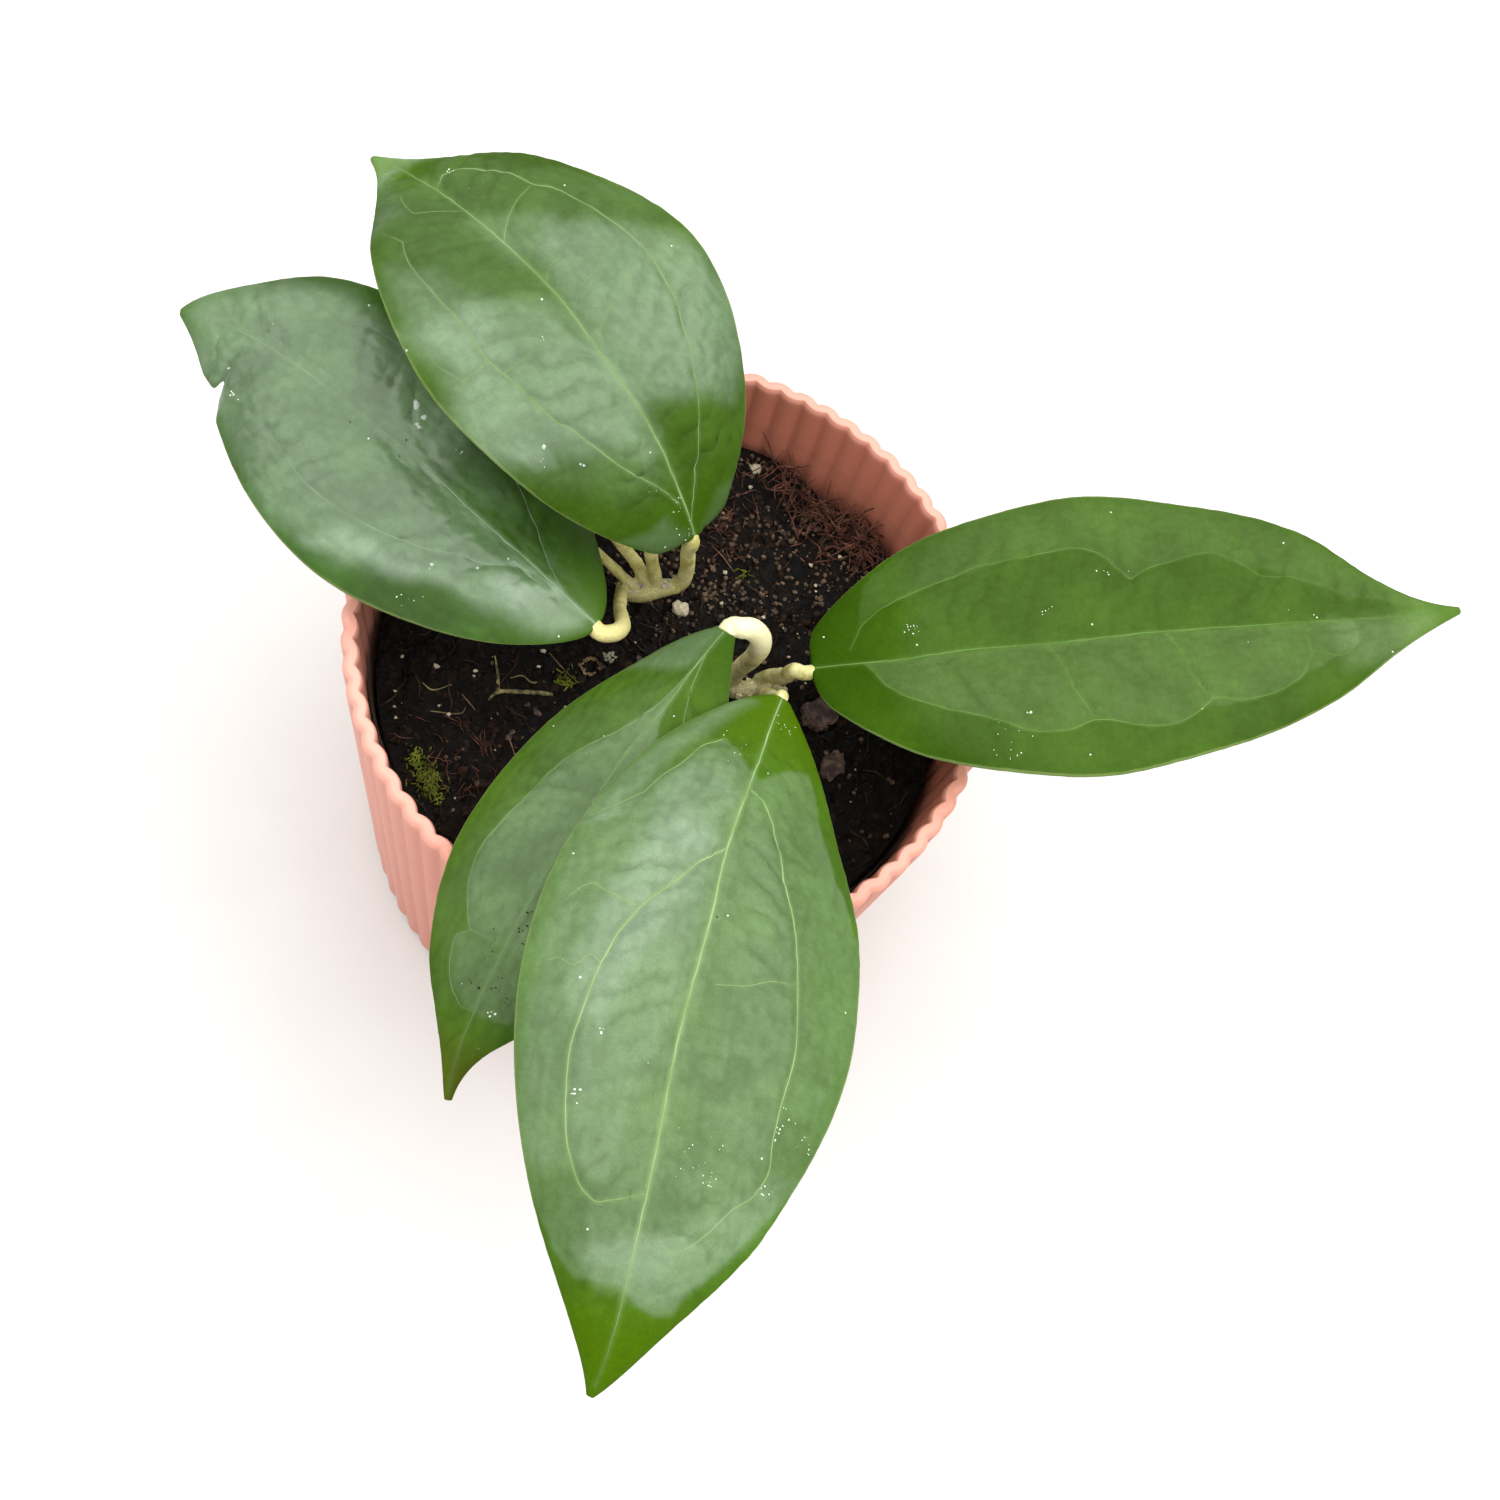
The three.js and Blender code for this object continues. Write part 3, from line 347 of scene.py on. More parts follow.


# %% [markdown]
# A hoya's veins are part of its form. One midrib, a long arch on either side that leaves the midrib low
# and joins it again near the tip, and cross veins between. Those that catch the eye are listed as
# points (u, v) with a width in millimetres and their strength along the way. A rule adds the faint rungs.

# %% Veins listed as points
VEINS = {
    "leaf_top": [
        (0.3, (0.7, 0.75, 0.6, 0.4),
         [(0.08, 0.1), (0.14, 0.24), (0.18, 0.34), (0.22, 0.41), (0.3, 0.5), (0.33, 0.55), (0.42, 0.59),
          (0.46, 0.62), (0.55, 0.61), (0.64, 0.66), (0.69, 0.69), (0.73, 0.67), (0.74, 0.63), (0.77, 0.71),
          (0.79, 0.79)]),
        (0.3, (0.3, 0.5, 0.7, 0.5),
         [(0.03, -0.02), (0.08, -0.2), (0.14, -0.31), (0.23, -0.46), (0.31, -0.55), (0.35, -0.57),
          (0.38, -0.61), (0.48, -0.65), (0.58, -0.63), (0.67, -0.62), (0.69, -0.55), (0.73, -0.59),
          (0.76, -0.57), (0.79, -0.48), (0.82, -0.44), (0.83, -0.26), (0.81, -0.01)]),
        (0.24, (0.6, 0.4), [(0.625, 0), (0.65, -0.11), (0.675, -0.29), (0.69, -0.52)]),
        (0.22, (0.5, 0.2), [(0.52, 0), (0.54, -0.11), (0.54, -0.2)]),
        (0.22, (0.5, 0.25), [(0.375, 0), (0.41, -0.11), (0.425, -0.22), (0.425, -0.29), (0.46, -0.36)]),
        (0.2, (0.25, 0.3), [(0.46, -0.06), (0.48, -0.17), (0.49, -0.32), (0.52, -0.52)]),
        (0.22, (0.4, 0.25), [(0.46, 0.62), (0.46, 0.7), (0.46, 0.81), (0.44, 0.88)]),
        (0.22, (0.45, 0.2), [(0.43, 0.6), (0.43, 0.49), (0.43, 0.35), (0.44, 0.28)]),
        (0.22, (0.35, 0.2), [(0.46, 0.81), (0.51, 0.88), (0.57, 0.88), (0.61, 0.93)]),
        (0.22, (0.4, 0.3), [(0.84, 0.44), (0.82, 0.44), (0.78, 0.4), (0.76, 0.23), (0.73, 0.02)])],
    "leaf_left": [
        (0.3, (0.3, 0.5, 0.45, 0.25),
         [(0.1, 0.02), (0.16, 0.06), (0.22, 0.28), (0.27, 0.35), (0.32, 0.46), (0.4, 0.54), (0.46, 0.58),
          (0.53, 0.61), (0.58, 0.61), (0.63, 0.57), (0.68, 0.55), (0.73, 0.58)]),
        (0.28, (0.2, 0.25, 0.15),
         [(0.08, -0.02), (0.2, -0.3), (0.34, -0.5), (0.5, -0.6), (0.68, -0.6), (0.76, -0.4)]),
        (0.22, (0.35, 0.15), [(0.39, 0.54), (0.375, 0.69), (0.37, 0.84)]),
        (0.2, (0.3, 0.1), [(0.77, -0.08), (0.8, -0.25), (0.84, -0.45)])],
    "leaf_right": [
        (0.26, (0.15, 0.45, 0.4, 0.2),
         [(0.06, 0.2), (0.09, 0.43), (0.13, 0.53), (0.23, 0.56), (0.28, 0.6), (0.34, 0.59), (0.38, 0.6),
          (0.43, 0.61), (0.46, 0.56), (0.48, 0.46), (0.5, 0.36), (0.53, 0.44), (0.58, 0.51), (0.62, 0.58),
          (0.65, 0.57), (0.68, 0.48), (0.7, 0.4), (0.74, 0.44), (0.78, 0.41), (0.83, 0.3)]),
        (0.28, (0.4, 0.55, 0.5, 0.35),
         [(0.08, -0.04), (0.11, -0.35), (0.14, -0.46), (0.19, -0.54), (0.28, -0.63), (0.3, -0.69),
          (0.34, -0.71), (0.38, -0.69), (0.41, -0.62), (0.45, -0.66), (0.49, -0.73), (0.53, -0.75),
          (0.57, -0.68), (0.59, -0.6), (0.64, -0.69), (0.69, -0.69), (0.73, -0.62), (0.75, -0.42),
          (0.75, -0.02)]),
        (0.26, (0.7, 0.5),
         [(0.355, -0.01), (0.37, -0.12), (0.38, -0.25), (0.385, -0.38), (0.4, -0.52), (0.41, -0.62)]),
        (0.26, (0.7, 0.5), [(0.54, -0.01), (0.555, -0.18), (0.565, -0.4), (0.58, -0.56), (0.59, -0.6)]),
        (0.22, (0.3, 0.2), [(0.75, -0.36), (0.8, -0.54), (0.83, -0.41), (0.83, -0.02)])],
    "leaf_front_left": [
        (0.3, (0.5, 0.6, 0.6, 0.5),
         [(0.1, -0.01), (0.15, -0.03), (0.19, -0.07), (0.27, -0.22), (0.33, -0.38), (0.38, -0.5),
          (0.46, -0.55), (0.53, -0.64), (0.58, -0.71), (0.64, -0.68), (0.69, -0.56), (0.72, -0.46),
          (0.72, -0.26), (0.72, -0.02)]),
        (0.24, (0.5, 0.3),
         [(0.72, -0.45), (0.74, -0.62), (0.78, -0.61), (0.82, -0.51), (0.84, -0.3), (0.84, -0.02)]),
        (0.28, (0.4, 0.3),
         [(0.06, 0.01), (0.2, 0.35), (0.35, 0.55), (0.5, 0.62), (0.65, 0.6), (0.75, 0.4)]),
        (0.2, (0.25, 0.15), [(0.56, -0.34), (0.575, -0.15), (0.62, -0.04)])],
    "leaf_front": [
        (0.32, (0.75, 0.85, 0.7, 0.6),
         [(0.3, -0.02), (0.33, -0.15), (0.37, -0.25), (0.42, -0.41), (0.46, -0.49), (0.5, -0.54),
          (0.56, -0.59), (0.6, -0.64), (0.67, -0.65), (0.71, -0.64), (0.74, -0.59), (0.76, -0.52),
          (0.77, -0.4), (0.76, -0.2), (0.75, -0.01)]),
        (0.3, (0.6, 0.75, 0.4, 0.12),
         [(0.19, 0.03), (0.2, 0.16), (0.23, 0.26), (0.27, 0.34), (0.32, 0.41), (0.36, 0.49), (0.41, 0.54),
          (0.46, 0.58), (0.51, 0.62), (0.55, 0.65), (0.61, 0.65), (0.66, 0.68), (0.7, 0.76), (0.73, 0.73),
          (0.75, 0.62), (0.78, 0.53), (0.8, 0.45), (0.81, 0.29), (0.8, 0.05)]),
        (0.26, (0.7, 0.3), [(0.42, -0.44), (0.41, -0.61), (0.4, -0.72), (0.41, -0.79), (0.43, -0.84)]),
        (0.24, (0.4, 0.15), [(0.5, -0.54), (0.49, -0.61), (0.51, -0.69), (0.5, -0.79), (0.51, -0.88)]),
        (0.24, (0.3, 0.5), [(0.49, 0.12), (0.48, 0.28), (0.46, 0.41), (0.45, 0.56)]),
        (0.24, (0.45, 0.25),
         [(0.13, -0.45), (0.15, -0.58), (0.19, -0.6), (0.22, -0.68), (0.25, -0.7), (0.28, -0.84),
          (0.3, -0.96)])],
}
MIDRIB_WIDTHS = (0.5, 0.4, 0.34, 0.26)
MIDRIBS = {"leaf_top": (0.85, 0.8, 0.75, 0.6, 0.3), "leaf_left": (0.8, 0.6, 0.3, 0.35, 0.2),
           "leaf_right": (0.5, 0.55, 0.6, 0.45, 0.2), "leaf_front_left": (0.5, 0.55, 0.5, 0.5, 0.25),
           "leaf_front": (0.3, 0.75, 0.9, 0.85, 0.2)}
print(sum(len(veins) for veins in VEINS.values()), "veins set by hand")

# %% [markdown]
# Skin over a vein is paler and a little sunken. Painting that by hand for every blade would be slow, so
# each point of a blade measures its own distance to the nearest vein, and the material reads the result.

# %% Marks that veins leave
RUNGS, RUNG_WIDTH, RUNG_STRENGTH = 11, 0.45, 0.16


def smooth_route(points, count):
    """A smooth line through points, as that many points at even steps."""
    points = np.asarray(points, float)
    reach = np.concatenate([[0], np.cumsum(np.linalg.norm(np.diff(points, axis=0), axis=1))])
    dense = np.linspace(0, reach[-1], count)
    line = np.stack([np.interp(dense, reach, points[:, k]) for k in range(points.shape[1])], -1)
    for _ in range(2):
        line[1:-1] = (line[:-2] + 2 * line[1:-1] + line[2:]) / 4
    return line


def vein_routes(name, dice):
    """All veins of a blade as (route in u and v, widths, strengths along the route)."""
    share = np.linspace(0, 0.985, 80)
    wander = 0.014 * np.sin(21 * share + LEAVES[name]["phase"]) * (1 - share)
    routes = [(np.stack([share, wander], -1), MIDRIB_WIDTHS, MIDRIBS[name])]
    for width, strengths, points in VEINS[name]:
        routes.append((smooth_route(points, 6 * len(points)), (width, 0.8 * width), strengths))
    for sign in (1, -1):
        starts = np.linspace(0.12, 0.78, RUNGS) + dice.uniform(-0.018, 0.018, RUNGS)
        for start in starts:
            lean, reach = dice.uniform(0.03, 0.07), dice.uniform(0.45, 0.62)
            rung = smooth_route([(start, 0), (start + 0.6 * lean, 0.5 * reach + dice.uniform(-0.04, 0.04)),
                                 (start + lean, reach), (start + 1.3 * lean, 0.88)], 16)
            routes.append((rung * [1, sign], (RUNG_WIDTH, RUNG_WIDTH), (RUNG_STRENGTH, RUNG_STRENGTH, 0.04)))
    return routes


def vein_fields(name, u, v, dice):
    """For each point: its share of a strong and of a thin vein, and its distance to any vein."""
    leaf = LEAVES[name]
    spot = flat_place(leaf, u, v)
    strong, thin, nearest = np.zeros(u.shape), np.zeros(u.shape), np.full(u.shape, 9.0)
    for route, widths, strengths in vein_routes(name, dice):
        line = flat_place(leaf, route[:, 0], route[:, 1])
        start, step = line[:-1], np.diff(line, axis=0)
        low, high = line.min(0) - 4, line.max(0) + 4
        inside = np.all((spot >= low) & (spot <= high), -1)
        p = spot[inside][:, None]
        t = np.clip(((p - start) * step).sum(-1) / (step ** 2).sum(-1), 0, 1)
        gaps = np.linalg.norm(p - start - t[..., None] * step, axis=-1)
        closest = gaps.argmin(-1)
        row = np.arange(len(closest))
        gap = gaps[row, closest]
        walked = (closest + t[row, closest]) / len(step)
        strength = np.interp(walked, np.linspace(0, 1, len(strengths)), strengths)
        width = np.interp(walked, np.linspace(0, 1, len(widths)), widths)
        field = strong if max(strengths) > 0.35 else thin
        field[inside] = np.maximum(field[inside], strength * np.exp(-(gap / np.maximum(width, 0.4)) ** 2))
        nearest[inside] = np.minimum(nearest[inside], gap + 1.3 * (1 - strength))
    return strong, thin, nearest


# %% [markdown]
# A hoya blade carries a thin bloom of wax, which greys its green. Here that grey is partly the wax and
# partly painted sheen. It lies thick between the veins, where the blade would catch the bright sky, and is
# left off at the foot, the tip and the margin, which face away from it; its borders follow the veins.
# Outlines in (u, v) say where it lies, each with a strength and the softness of its border in millimetres.

# %% Wax bloom and painted sheen
# Outlines of the grey: partly wax bloom, partly painted sheen where the blade would reflect the bright sky.
BLOOM_AND_SHEEN = {
    "leaf_top": [
        (0.16, 6, [(0.12, 0), (0.16, 0.6), (0.3, 1.1), (0.7, 1.1), (0.85, 0.5), (0.85, -0.5), (0.6, -1.1),
                   (0.3, -1.1), (0.2, -0.8), (0.25, -0.3), (0.24, -0.05)]),
        (0.5, 7, [(0.62, 1.1), (0.5, 0.86), (0.34, 1.1), (0.28, 0.7), (0.24, 0.4), (0.17, 0.16),
                  (0.21, -0.03), (0.28, -0.04), (0.38, 0), (0.48, 0.1), (0.54, 0.4), (0.56, 0.7)]),
        (0.5, 7, [(0.28, -0.04), (0.24, -0.39), (0.2, -0.8), (0.24, -1.1), (0.34, -1.1), (0.45, -0.93),
                  (0.52, -0.72), (0.57, -0.5), (0.6, -0.34), (0.58, -0.14), (0.5, -0.05), (0.4, -0.02)]),
        (0.32, 6, [(0.72, 0.88), (0.63, 0.91), (0.54, 0.85), (0.44, 0.69), (0.46, 0.53), (0.54, 0.46),
                   (0.63, 0.54)]),
        (0.25, 6, [(0.7, 0.12), (0.68, -0.1), (0.62, -0.38), (0.56, -0.27), (0.58, 0.02)]),
        (0.3, 2, [(0.26, 0.74), (0.31, 0.7), (0.33, 0.8), (0.31, 0.89), (0.27, 0.86)]),
        (0.25, 3, [(0.01, -0.5), (0.01, -1.1), (0.09, -1.1), (0.08, -0.6)]),
        (0.35, 3, [(0.01, 0.35), (0.01, 1.1), (0.09, 1.1), (0.08, 0.45)]),
        (0.25, 6, [(0.3, 0.6), (0.3, 1.1), (0.45, 1.1), (0.45, 0.7)]),
        (0.25, 5, [(0.8, 0.5), (0.8, 1.1), (0.92, 1.1), (0.92, 0.4)]),
        (0.35, 3, [(0.9, -1), (0.9, 1), (0.995, 0.5), (0.995, -0.5)])],
    "leaf_left": [
        (0.46, 6, [(0.1, 0.1), (0.14, 0.4), (0.3, 0.64), (0.42, 0.86), (0.6, 1), (0.9, 1.1), (0.98, 0.3),
                   (0.98, -0.3), (0.85, -0.95), (0.5, -0.85), (0.42, -0.5), (0.4, -0.1), (0.25, 0.1)]),
        (0.5, 5, [(0.5, 0.88), (0.4, 0.76), (0.31, 0.68), (0.2, 0.62), (0.1, 0.7), (0.04, 0.95),
                  (0.02, 0.4), (0.03, 0.05), (0.1, 0.1), (0.16, 0.3), (0.21, 0.5), (0.28, 0.58),
                  (0.35, 0.62), (0.44, 0.7)]),
        (0.4, 2.5, [(0.42, -0.02), (0.3, 0.02), (0.18, 0.02), (0.06, -0.06), (0.03, -0.02), (0.08, 0.1),
                    (0.19, 0.12), (0.32, 0.07)]),
        (0.3, 5, [(0.5, -0.4), (0.38, -0.44), (0.24, -0.24), (0.3, -0.1), (0.42, -0.16)])],
    "leaf_right": [
        (0.17, 0.8, [(0.08, -0.02), (0.11, -0.35), (0.14, -0.46), (0.19, -0.54), (0.28, -0.63), (0.3, -0.69),
                     (0.34, -0.71), (0.38, -0.69), (0.41, -0.62), (0.45, -0.66), (0.49, -0.73),
                     (0.53, -0.75), (0.57, -0.68), (0.64, -0.69), (0.69, -0.69), (0.73, -0.62),
                     (0.8, -0.54), (0.83, -0.41), (0.83, -0.02)]),
        (0.05, 2, [(0.08, -0.03), (0.11, -0.33), (0.15, -0.45), (0.21, -0.5), (0.19, -0.05)]),
        (0.3, 5, [(0.8, -0.02), (0.8, -0.7), (0.88, -1.1), (0.95, -0.8), (0.95, -0.02)]),
        (0.1, 8, [(0.15, 0.1), (0.18, 0.7), (0.3, 1.2), (0.6, 1.2), (0.95, 0.6), (0.95, -0.6), (0.6, -1.2),
                  (0.3, -1.2), (0.15, -0.7)]),
        (0.1, 0.8, [(0.09, 0.43), (0.13, 0.53), (0.23, 0.56), (0.34, 0.59), (0.43, 0.61), (0.48, 0.46),
                    (0.5, 0.36), (0.53, 0.44), (0.62, 0.58), (0.68, 0.48), (0.74, 0.44), (0.83, 0.3),
                    (0.95, 0.6), (0.7, 1.2), (0.25, 1.2), (0.1, 0.9)])],
    "leaf_front_left": [
        (0.36, 0.8, [(0.12, -0.01), (0.15, -0.03), (0.19, -0.07), (0.27, -0.22), (0.33, -0.38), (0.38, -0.5),
                     (0.46, -0.55), (0.53, -0.64), (0.58, -0.71), (0.64, -0.68), (0.69, -0.56),
                     (0.72, -0.46), (0.72, 0), (0.72, 0.6), (0.5, 0.7), (0.35, 0.4), (0.2, 0.02)]),
        (0.22, 0.8, [(0.72, -0.45), (0.74, -0.62), (0.78, -0.61), (0.82, -0.51), (0.84, -0.3), (0.84, 0.6),
                    (0.72, 0.6)]),
        (0.12, 6, [(0.15, -0.2), (0.3, -0.9), (0.7, -1), (0.84, -0.6), (0.84, 0.8), (0.4, 0.9), (0.3, 0.3)]),
        (0.38, 3, [(0.002, -0.08), (0.002, -1.1), (0.17, -1.1), (0.14, -0.5), (0.1, -0.12)])],
    "leaf_front": [
        (0.3, 1.2, [(0.16, -0.05), (0.135, -0.3), (0.13, -0.46), (0.16, -0.58), (0.2, -0.62), (0.25, -0.7),
                    (0.29, -0.86), (0.33, -1.1), (0.6, -1.2), (0.8, -1), (0.865, -0.7), (0.858, -0.47),
                    (0.86, -0.27), (0.858, 0), (0.875, 0.25), (0.885, 0.53), (0.88, 0.76), (0.855, 0.66),
                    (0.84, 0.78), (0.78, 0.9), (0.6, 1.2), (0.4, 1.1), (0.28, 0.9), (0.2, 0.78),
                    (0.15, 0.74), (0.11, 0.66), (0.125, 0.4), (0.165, 0.1)]),
        (0.16, 3, [(0.2, -0.05), (0.18, -0.5), (0.3, -1.1), (0.74, -1.1), (0.74, -0.3), (0.5, -0.05)]),
        (0.1, 1.2, [(0.3, -0.02), (0.37, -0.25), (0.42, -0.41), (0.46, -0.49), (0.56, -0.59), (0.6, -0.64),
                    (0.71, -0.64), (0.77, -0.5), (0.83, -0.4), (0.85, 0.3), (0.8, 0.4), (0.73, 0.7),
                    (0.68, 0.7), (0.61, 0.65), (0.51, 0.62), (0.41, 0.54), (0.32, 0.41), (0.23, 0.26),
                    (0.2, 0.1)]),
        (0.42, 6, [(0.54, -0.68), (0.48, -0.66), (0.4, -0.6), (0.26, -0.4), (0.29, -0.1), (0.4, -0.2),
                   (0.5, -0.36), (0.58, -0.5)]),
        (0.5, 4, [(0.03, -0.66), (0.03, -1.15), (0.32, -1.15), (0.3, -0.82), (0.12, -0.66)]),
        (0.28, 3, [(0.82, -0.6), (0.87, -0.4), (0.872, 0.6), (0.78, 0.95), (0.7, 1.05), (0.7, 0.8),
                   (0.79, 0.3), (0.8, -0.2)]),
        (0.22, 6, [(0.16, -0.1), (0.16, -0.5), (0.25, -0.65), (0.36, -0.5), (0.3, -0.1)])],
}


def inside_outline(spot, outline, soft):
    """How far inside an outline each spot lies: 0 outside, 1 inside, and a soft border between."""
    gap = np.full(spot.shape[:-1], 1e9)
    crossed = np.zeros(spot.shape[:-1], dtype=int)
    for here, there in zip(outline, np.roll(outline, -1, axis=0)):
        step = there - here
        t = np.clip(((spot - here) * step).sum(-1) / (step @ step), 0, 1)
        gap = np.minimum(gap, np.linalg.norm(spot - here - t[..., None] * step, axis=-1))
        between = (here[1] > spot[..., 1]) != (there[1] > spot[..., 1])
        reach = here[0] + (spot[..., 1] - here[1]) * step[0] / (step[1] if abs(step[1]) > 1e-9 else 1e-9)
        crossed += between & (spot[..., 0] < reach)
    return smoothstep(np.where(crossed % 2 == 1, gap, -gap), -soft / 2, soft / 2)


def bloom_and_sheen_field(name, u, v, ripple):
    """How much wax and painted sheen each point of a blade has. ripple, about -1 to 1, makes its borders
    wavy.
    """
    leaf = LEAVES[name]
    spot = flat_place(leaf, u, v) + 0.9 * np.stack([ripple, -ripple], -1)
    bloom_and_sheen = np.zeros(u.shape)
    for strength, soft, outline in BLOOM_AND_SHEEN[name]:
        edge = flat_place(leaf, np.array(outline)[:, 0], np.array(outline)[:, 1])
        bloom_and_sheen = bloom_and_sheen + strength * inside_outline(spot, edge, soft)
    return bloom_and_sheen * (1 - 0.25 * smoothstep(np.abs(v), 0.85, 0.99))


# %% [markdown]
# The skin swells between the veins like a quilt, with fine wrinkles and a few dents. Moving real points
# suits this better than a bump, because the soft light of the scene shows it at the blades' outlines too.

# %% Relief and shape of a blade
def blade_relief(leaf, u, v, across, nearest, ripple):
    """Height of the finer relief over the sheet, and how hollow each spot is, from 0 to 1; the leaf material
    paints shade into the hollows from it.
    """
    fade = smoothstep(u, 0.02, 0.15) * (1 - smoothstep(u, 0.85, 1))
    valley = -0.5 * np.exp(-(across / 3.2) ** 2)
    rib = 0.2 * np.exp(-(across / 0.8) ** 2)
    sunken = -0.26 * np.exp(-(nearest / 1.5) ** 2) * (across > 2)
    slant = u * leaf["length"] - 0.5 * across + 3.2 * ripple
    uneven = np.clip(0.45 + 1.2 * ripples(leaf, u, v, 13), 0, 1)
    belly = np.sin(np.pi * np.minimum(1, np.abs(v) * 1.2)) * uneven
    quilt = 0.46 * (np.abs(np.sin(np.pi * slant / 5.5 + leaf["phase"] + v)) ** 0.7 - 0.6) * belly
    wrinkle = ripples(leaf, u, v, 2.4, 1.6) + 0.5 * ripples(leaf, u, v, 1.3)
    turn = 2 * np.pi * u * leaf["length"] / 34 + leaf["phase"] + 1.3 * np.sign(v)
    wave = 0.6 * np.abs(v) ** 3 * np.sin(turn)
    spot = flat_place(leaf, u, v)
    dents = np.zeros(u.shape)
    for at_u, at_v, depth, radius in leaf["dimples"]:
        centre = flat_place(leaf, np.array(at_u), np.array(at_v))
        dents -= depth * np.exp(-((spot - centre) ** 2).sum(-1) / radius ** 2)
    fine = fade * (sunken + quilt + dents + 0.14 * ripple + 0.15 * wrinkle)
    return fine + fade * (valley + rib + wave), np.clip(0.5 - 1.5 * fine - fade * dents, 0, 1)


def ripples(leaf, u, v, pitch, squeeze=1):
    """Soft noise over a blade, about -1 to 1. pitch is the size of its bumps in millimetres."""
    spot = flat_place(leaf, u, v) / pitch * [squeeze, 1]
    values = [noise.noise(Vector((a, b, leaf["phase"]))) for a, b in spot.reshape(-1, 2)]
    return np.array(values).reshape(u.shape)


def blade_grid(leaf, u, v, nearest, ripple):
    """Points of the blade's middle sheet."""
    along, left, up = leaf_axes(leaf, u)
    width = np.where(v >= 0, half_width(leaf, u, 0), half_width(leaf, u, 1))
    across = np.abs(v) * width
    slope = np.radians(leaf["cup"] + leaf["curl"] * np.abs(v))
    lobe = np.where(v >= 0, *leaf["lobes"]) * (1 - u) ** 5 * np.clip((across - 2.4) / 6, 0, 1)
    rise = across * np.sin(slope) + blade_relief(leaf, u, v, across, nearest, ripple)[0]
    return (midrib_points(leaf, u) + left * (np.sign(v) * across * np.cos(slope))[..., None]
            + up * rise[..., None] - along * lobe[..., None])


def sheet_normals(sheet):
    """Unit normals of a grid of points."""
    crossed = np.cross(np.gradient(sheet, axis=0), np.gradient(sheet, axis=1))
    return crossed / np.linalg.norm(crossed, axis=-1, keepdims=True)


def make_leaf(name, material, seed):
    """A closed blade: rings that run over the upper face, round the margin and back underneath."""
    leaf = LEAVES[name]
    dice = np.random.default_rng(seed)
    even = np.linspace(0, 1, ROWS)
    shares = 0.5 * even + 0.5 * (0.5 - 0.5 * np.cos(np.pi * even))
    sides = np.linspace(-1, 1, COLUMNS)
    u, v = np.meshgrid(shares, sides, indexing="ij")
    strong, thin, nearest = vein_fields(name, u, v, dice)
    ripple = ripples(leaf, u, v, 7) + 0.4 * ripples(leaf, u, v, 2.6)
    bloom_and_sheen = bloom_and_sheen_field(name, u, v, ripple)
    sheet = blade_grid(leaf, u, v, nearest, ripple)
    normal = sheet_normals(sheet)
    across = np.linalg.norm(flat_place(leaf, u, v) - flat_place(leaf, u, 0 * v), axis=-1)
    hollow = blade_relief(leaf, u, v, across, nearest, ripple)[1]
    body = THICKNESS + (EDGE_THICKNESS - THICKNESS) * np.abs(v) ** 3
    rib = MIDRIB_THICKNESS * (1 - u) ** 1.5 * np.exp(-(across / MIDRIB_WIDTH) ** 2)
    upper = sheet + normal * (body / 2)[..., None]
    lower = sheet - normal * (body / 2 + rib)[..., None]
    outward = sheet[:, [0, -1]] - sheet[:, [1, -2]]
    outward /= np.linalg.norm(outward, axis=-1, keepdims=True)
    margin = sheet[:, [0, -1]] + 0.3 * EDGE_THICKNESS * outward
    back = np.linspace(COLUMNS - 1, 0, UNDER_COLUMNS).round().astype(int)
    rings = np.concatenate([upper, margin[:, 1:], lower[:, back], margin[:, :1]], axis=1)
    wrap = lambda a: np.concatenate([a, a[:, -1:], a[:, back], a[:, :1]], axis=1).ravel()
    rim = np.full((ROWS, 1), 0.5)
    face_up = np.concatenate([np.ones(u.shape), rim, np.zeros((ROWS, UNDER_COLUMNS)), rim], axis=1).ravel()
    flat = flat_place(leaf, wrap(u), wrap(v)) / 10
    made = piece(name + "_blade", rings.reshape(-1, 3), ring_faces(ROWS, COLUMNS + UNDER_COLUMNS + 2),
                 material, {"share": wrap(u), "side": wrap(v), "strong": wrap(strong), "thin": wrap(thin),
                  "bloom_and_sheen": wrap(bloom_and_sheen), "hollow": wrap(hollow), "face_up": face_up}, {"blade": flat})
    leaf["sheet"], leaf["normal"] = upper, normal
    leaf["shares"], leaf["sides"] = shares, sides
    return turn_out(made)
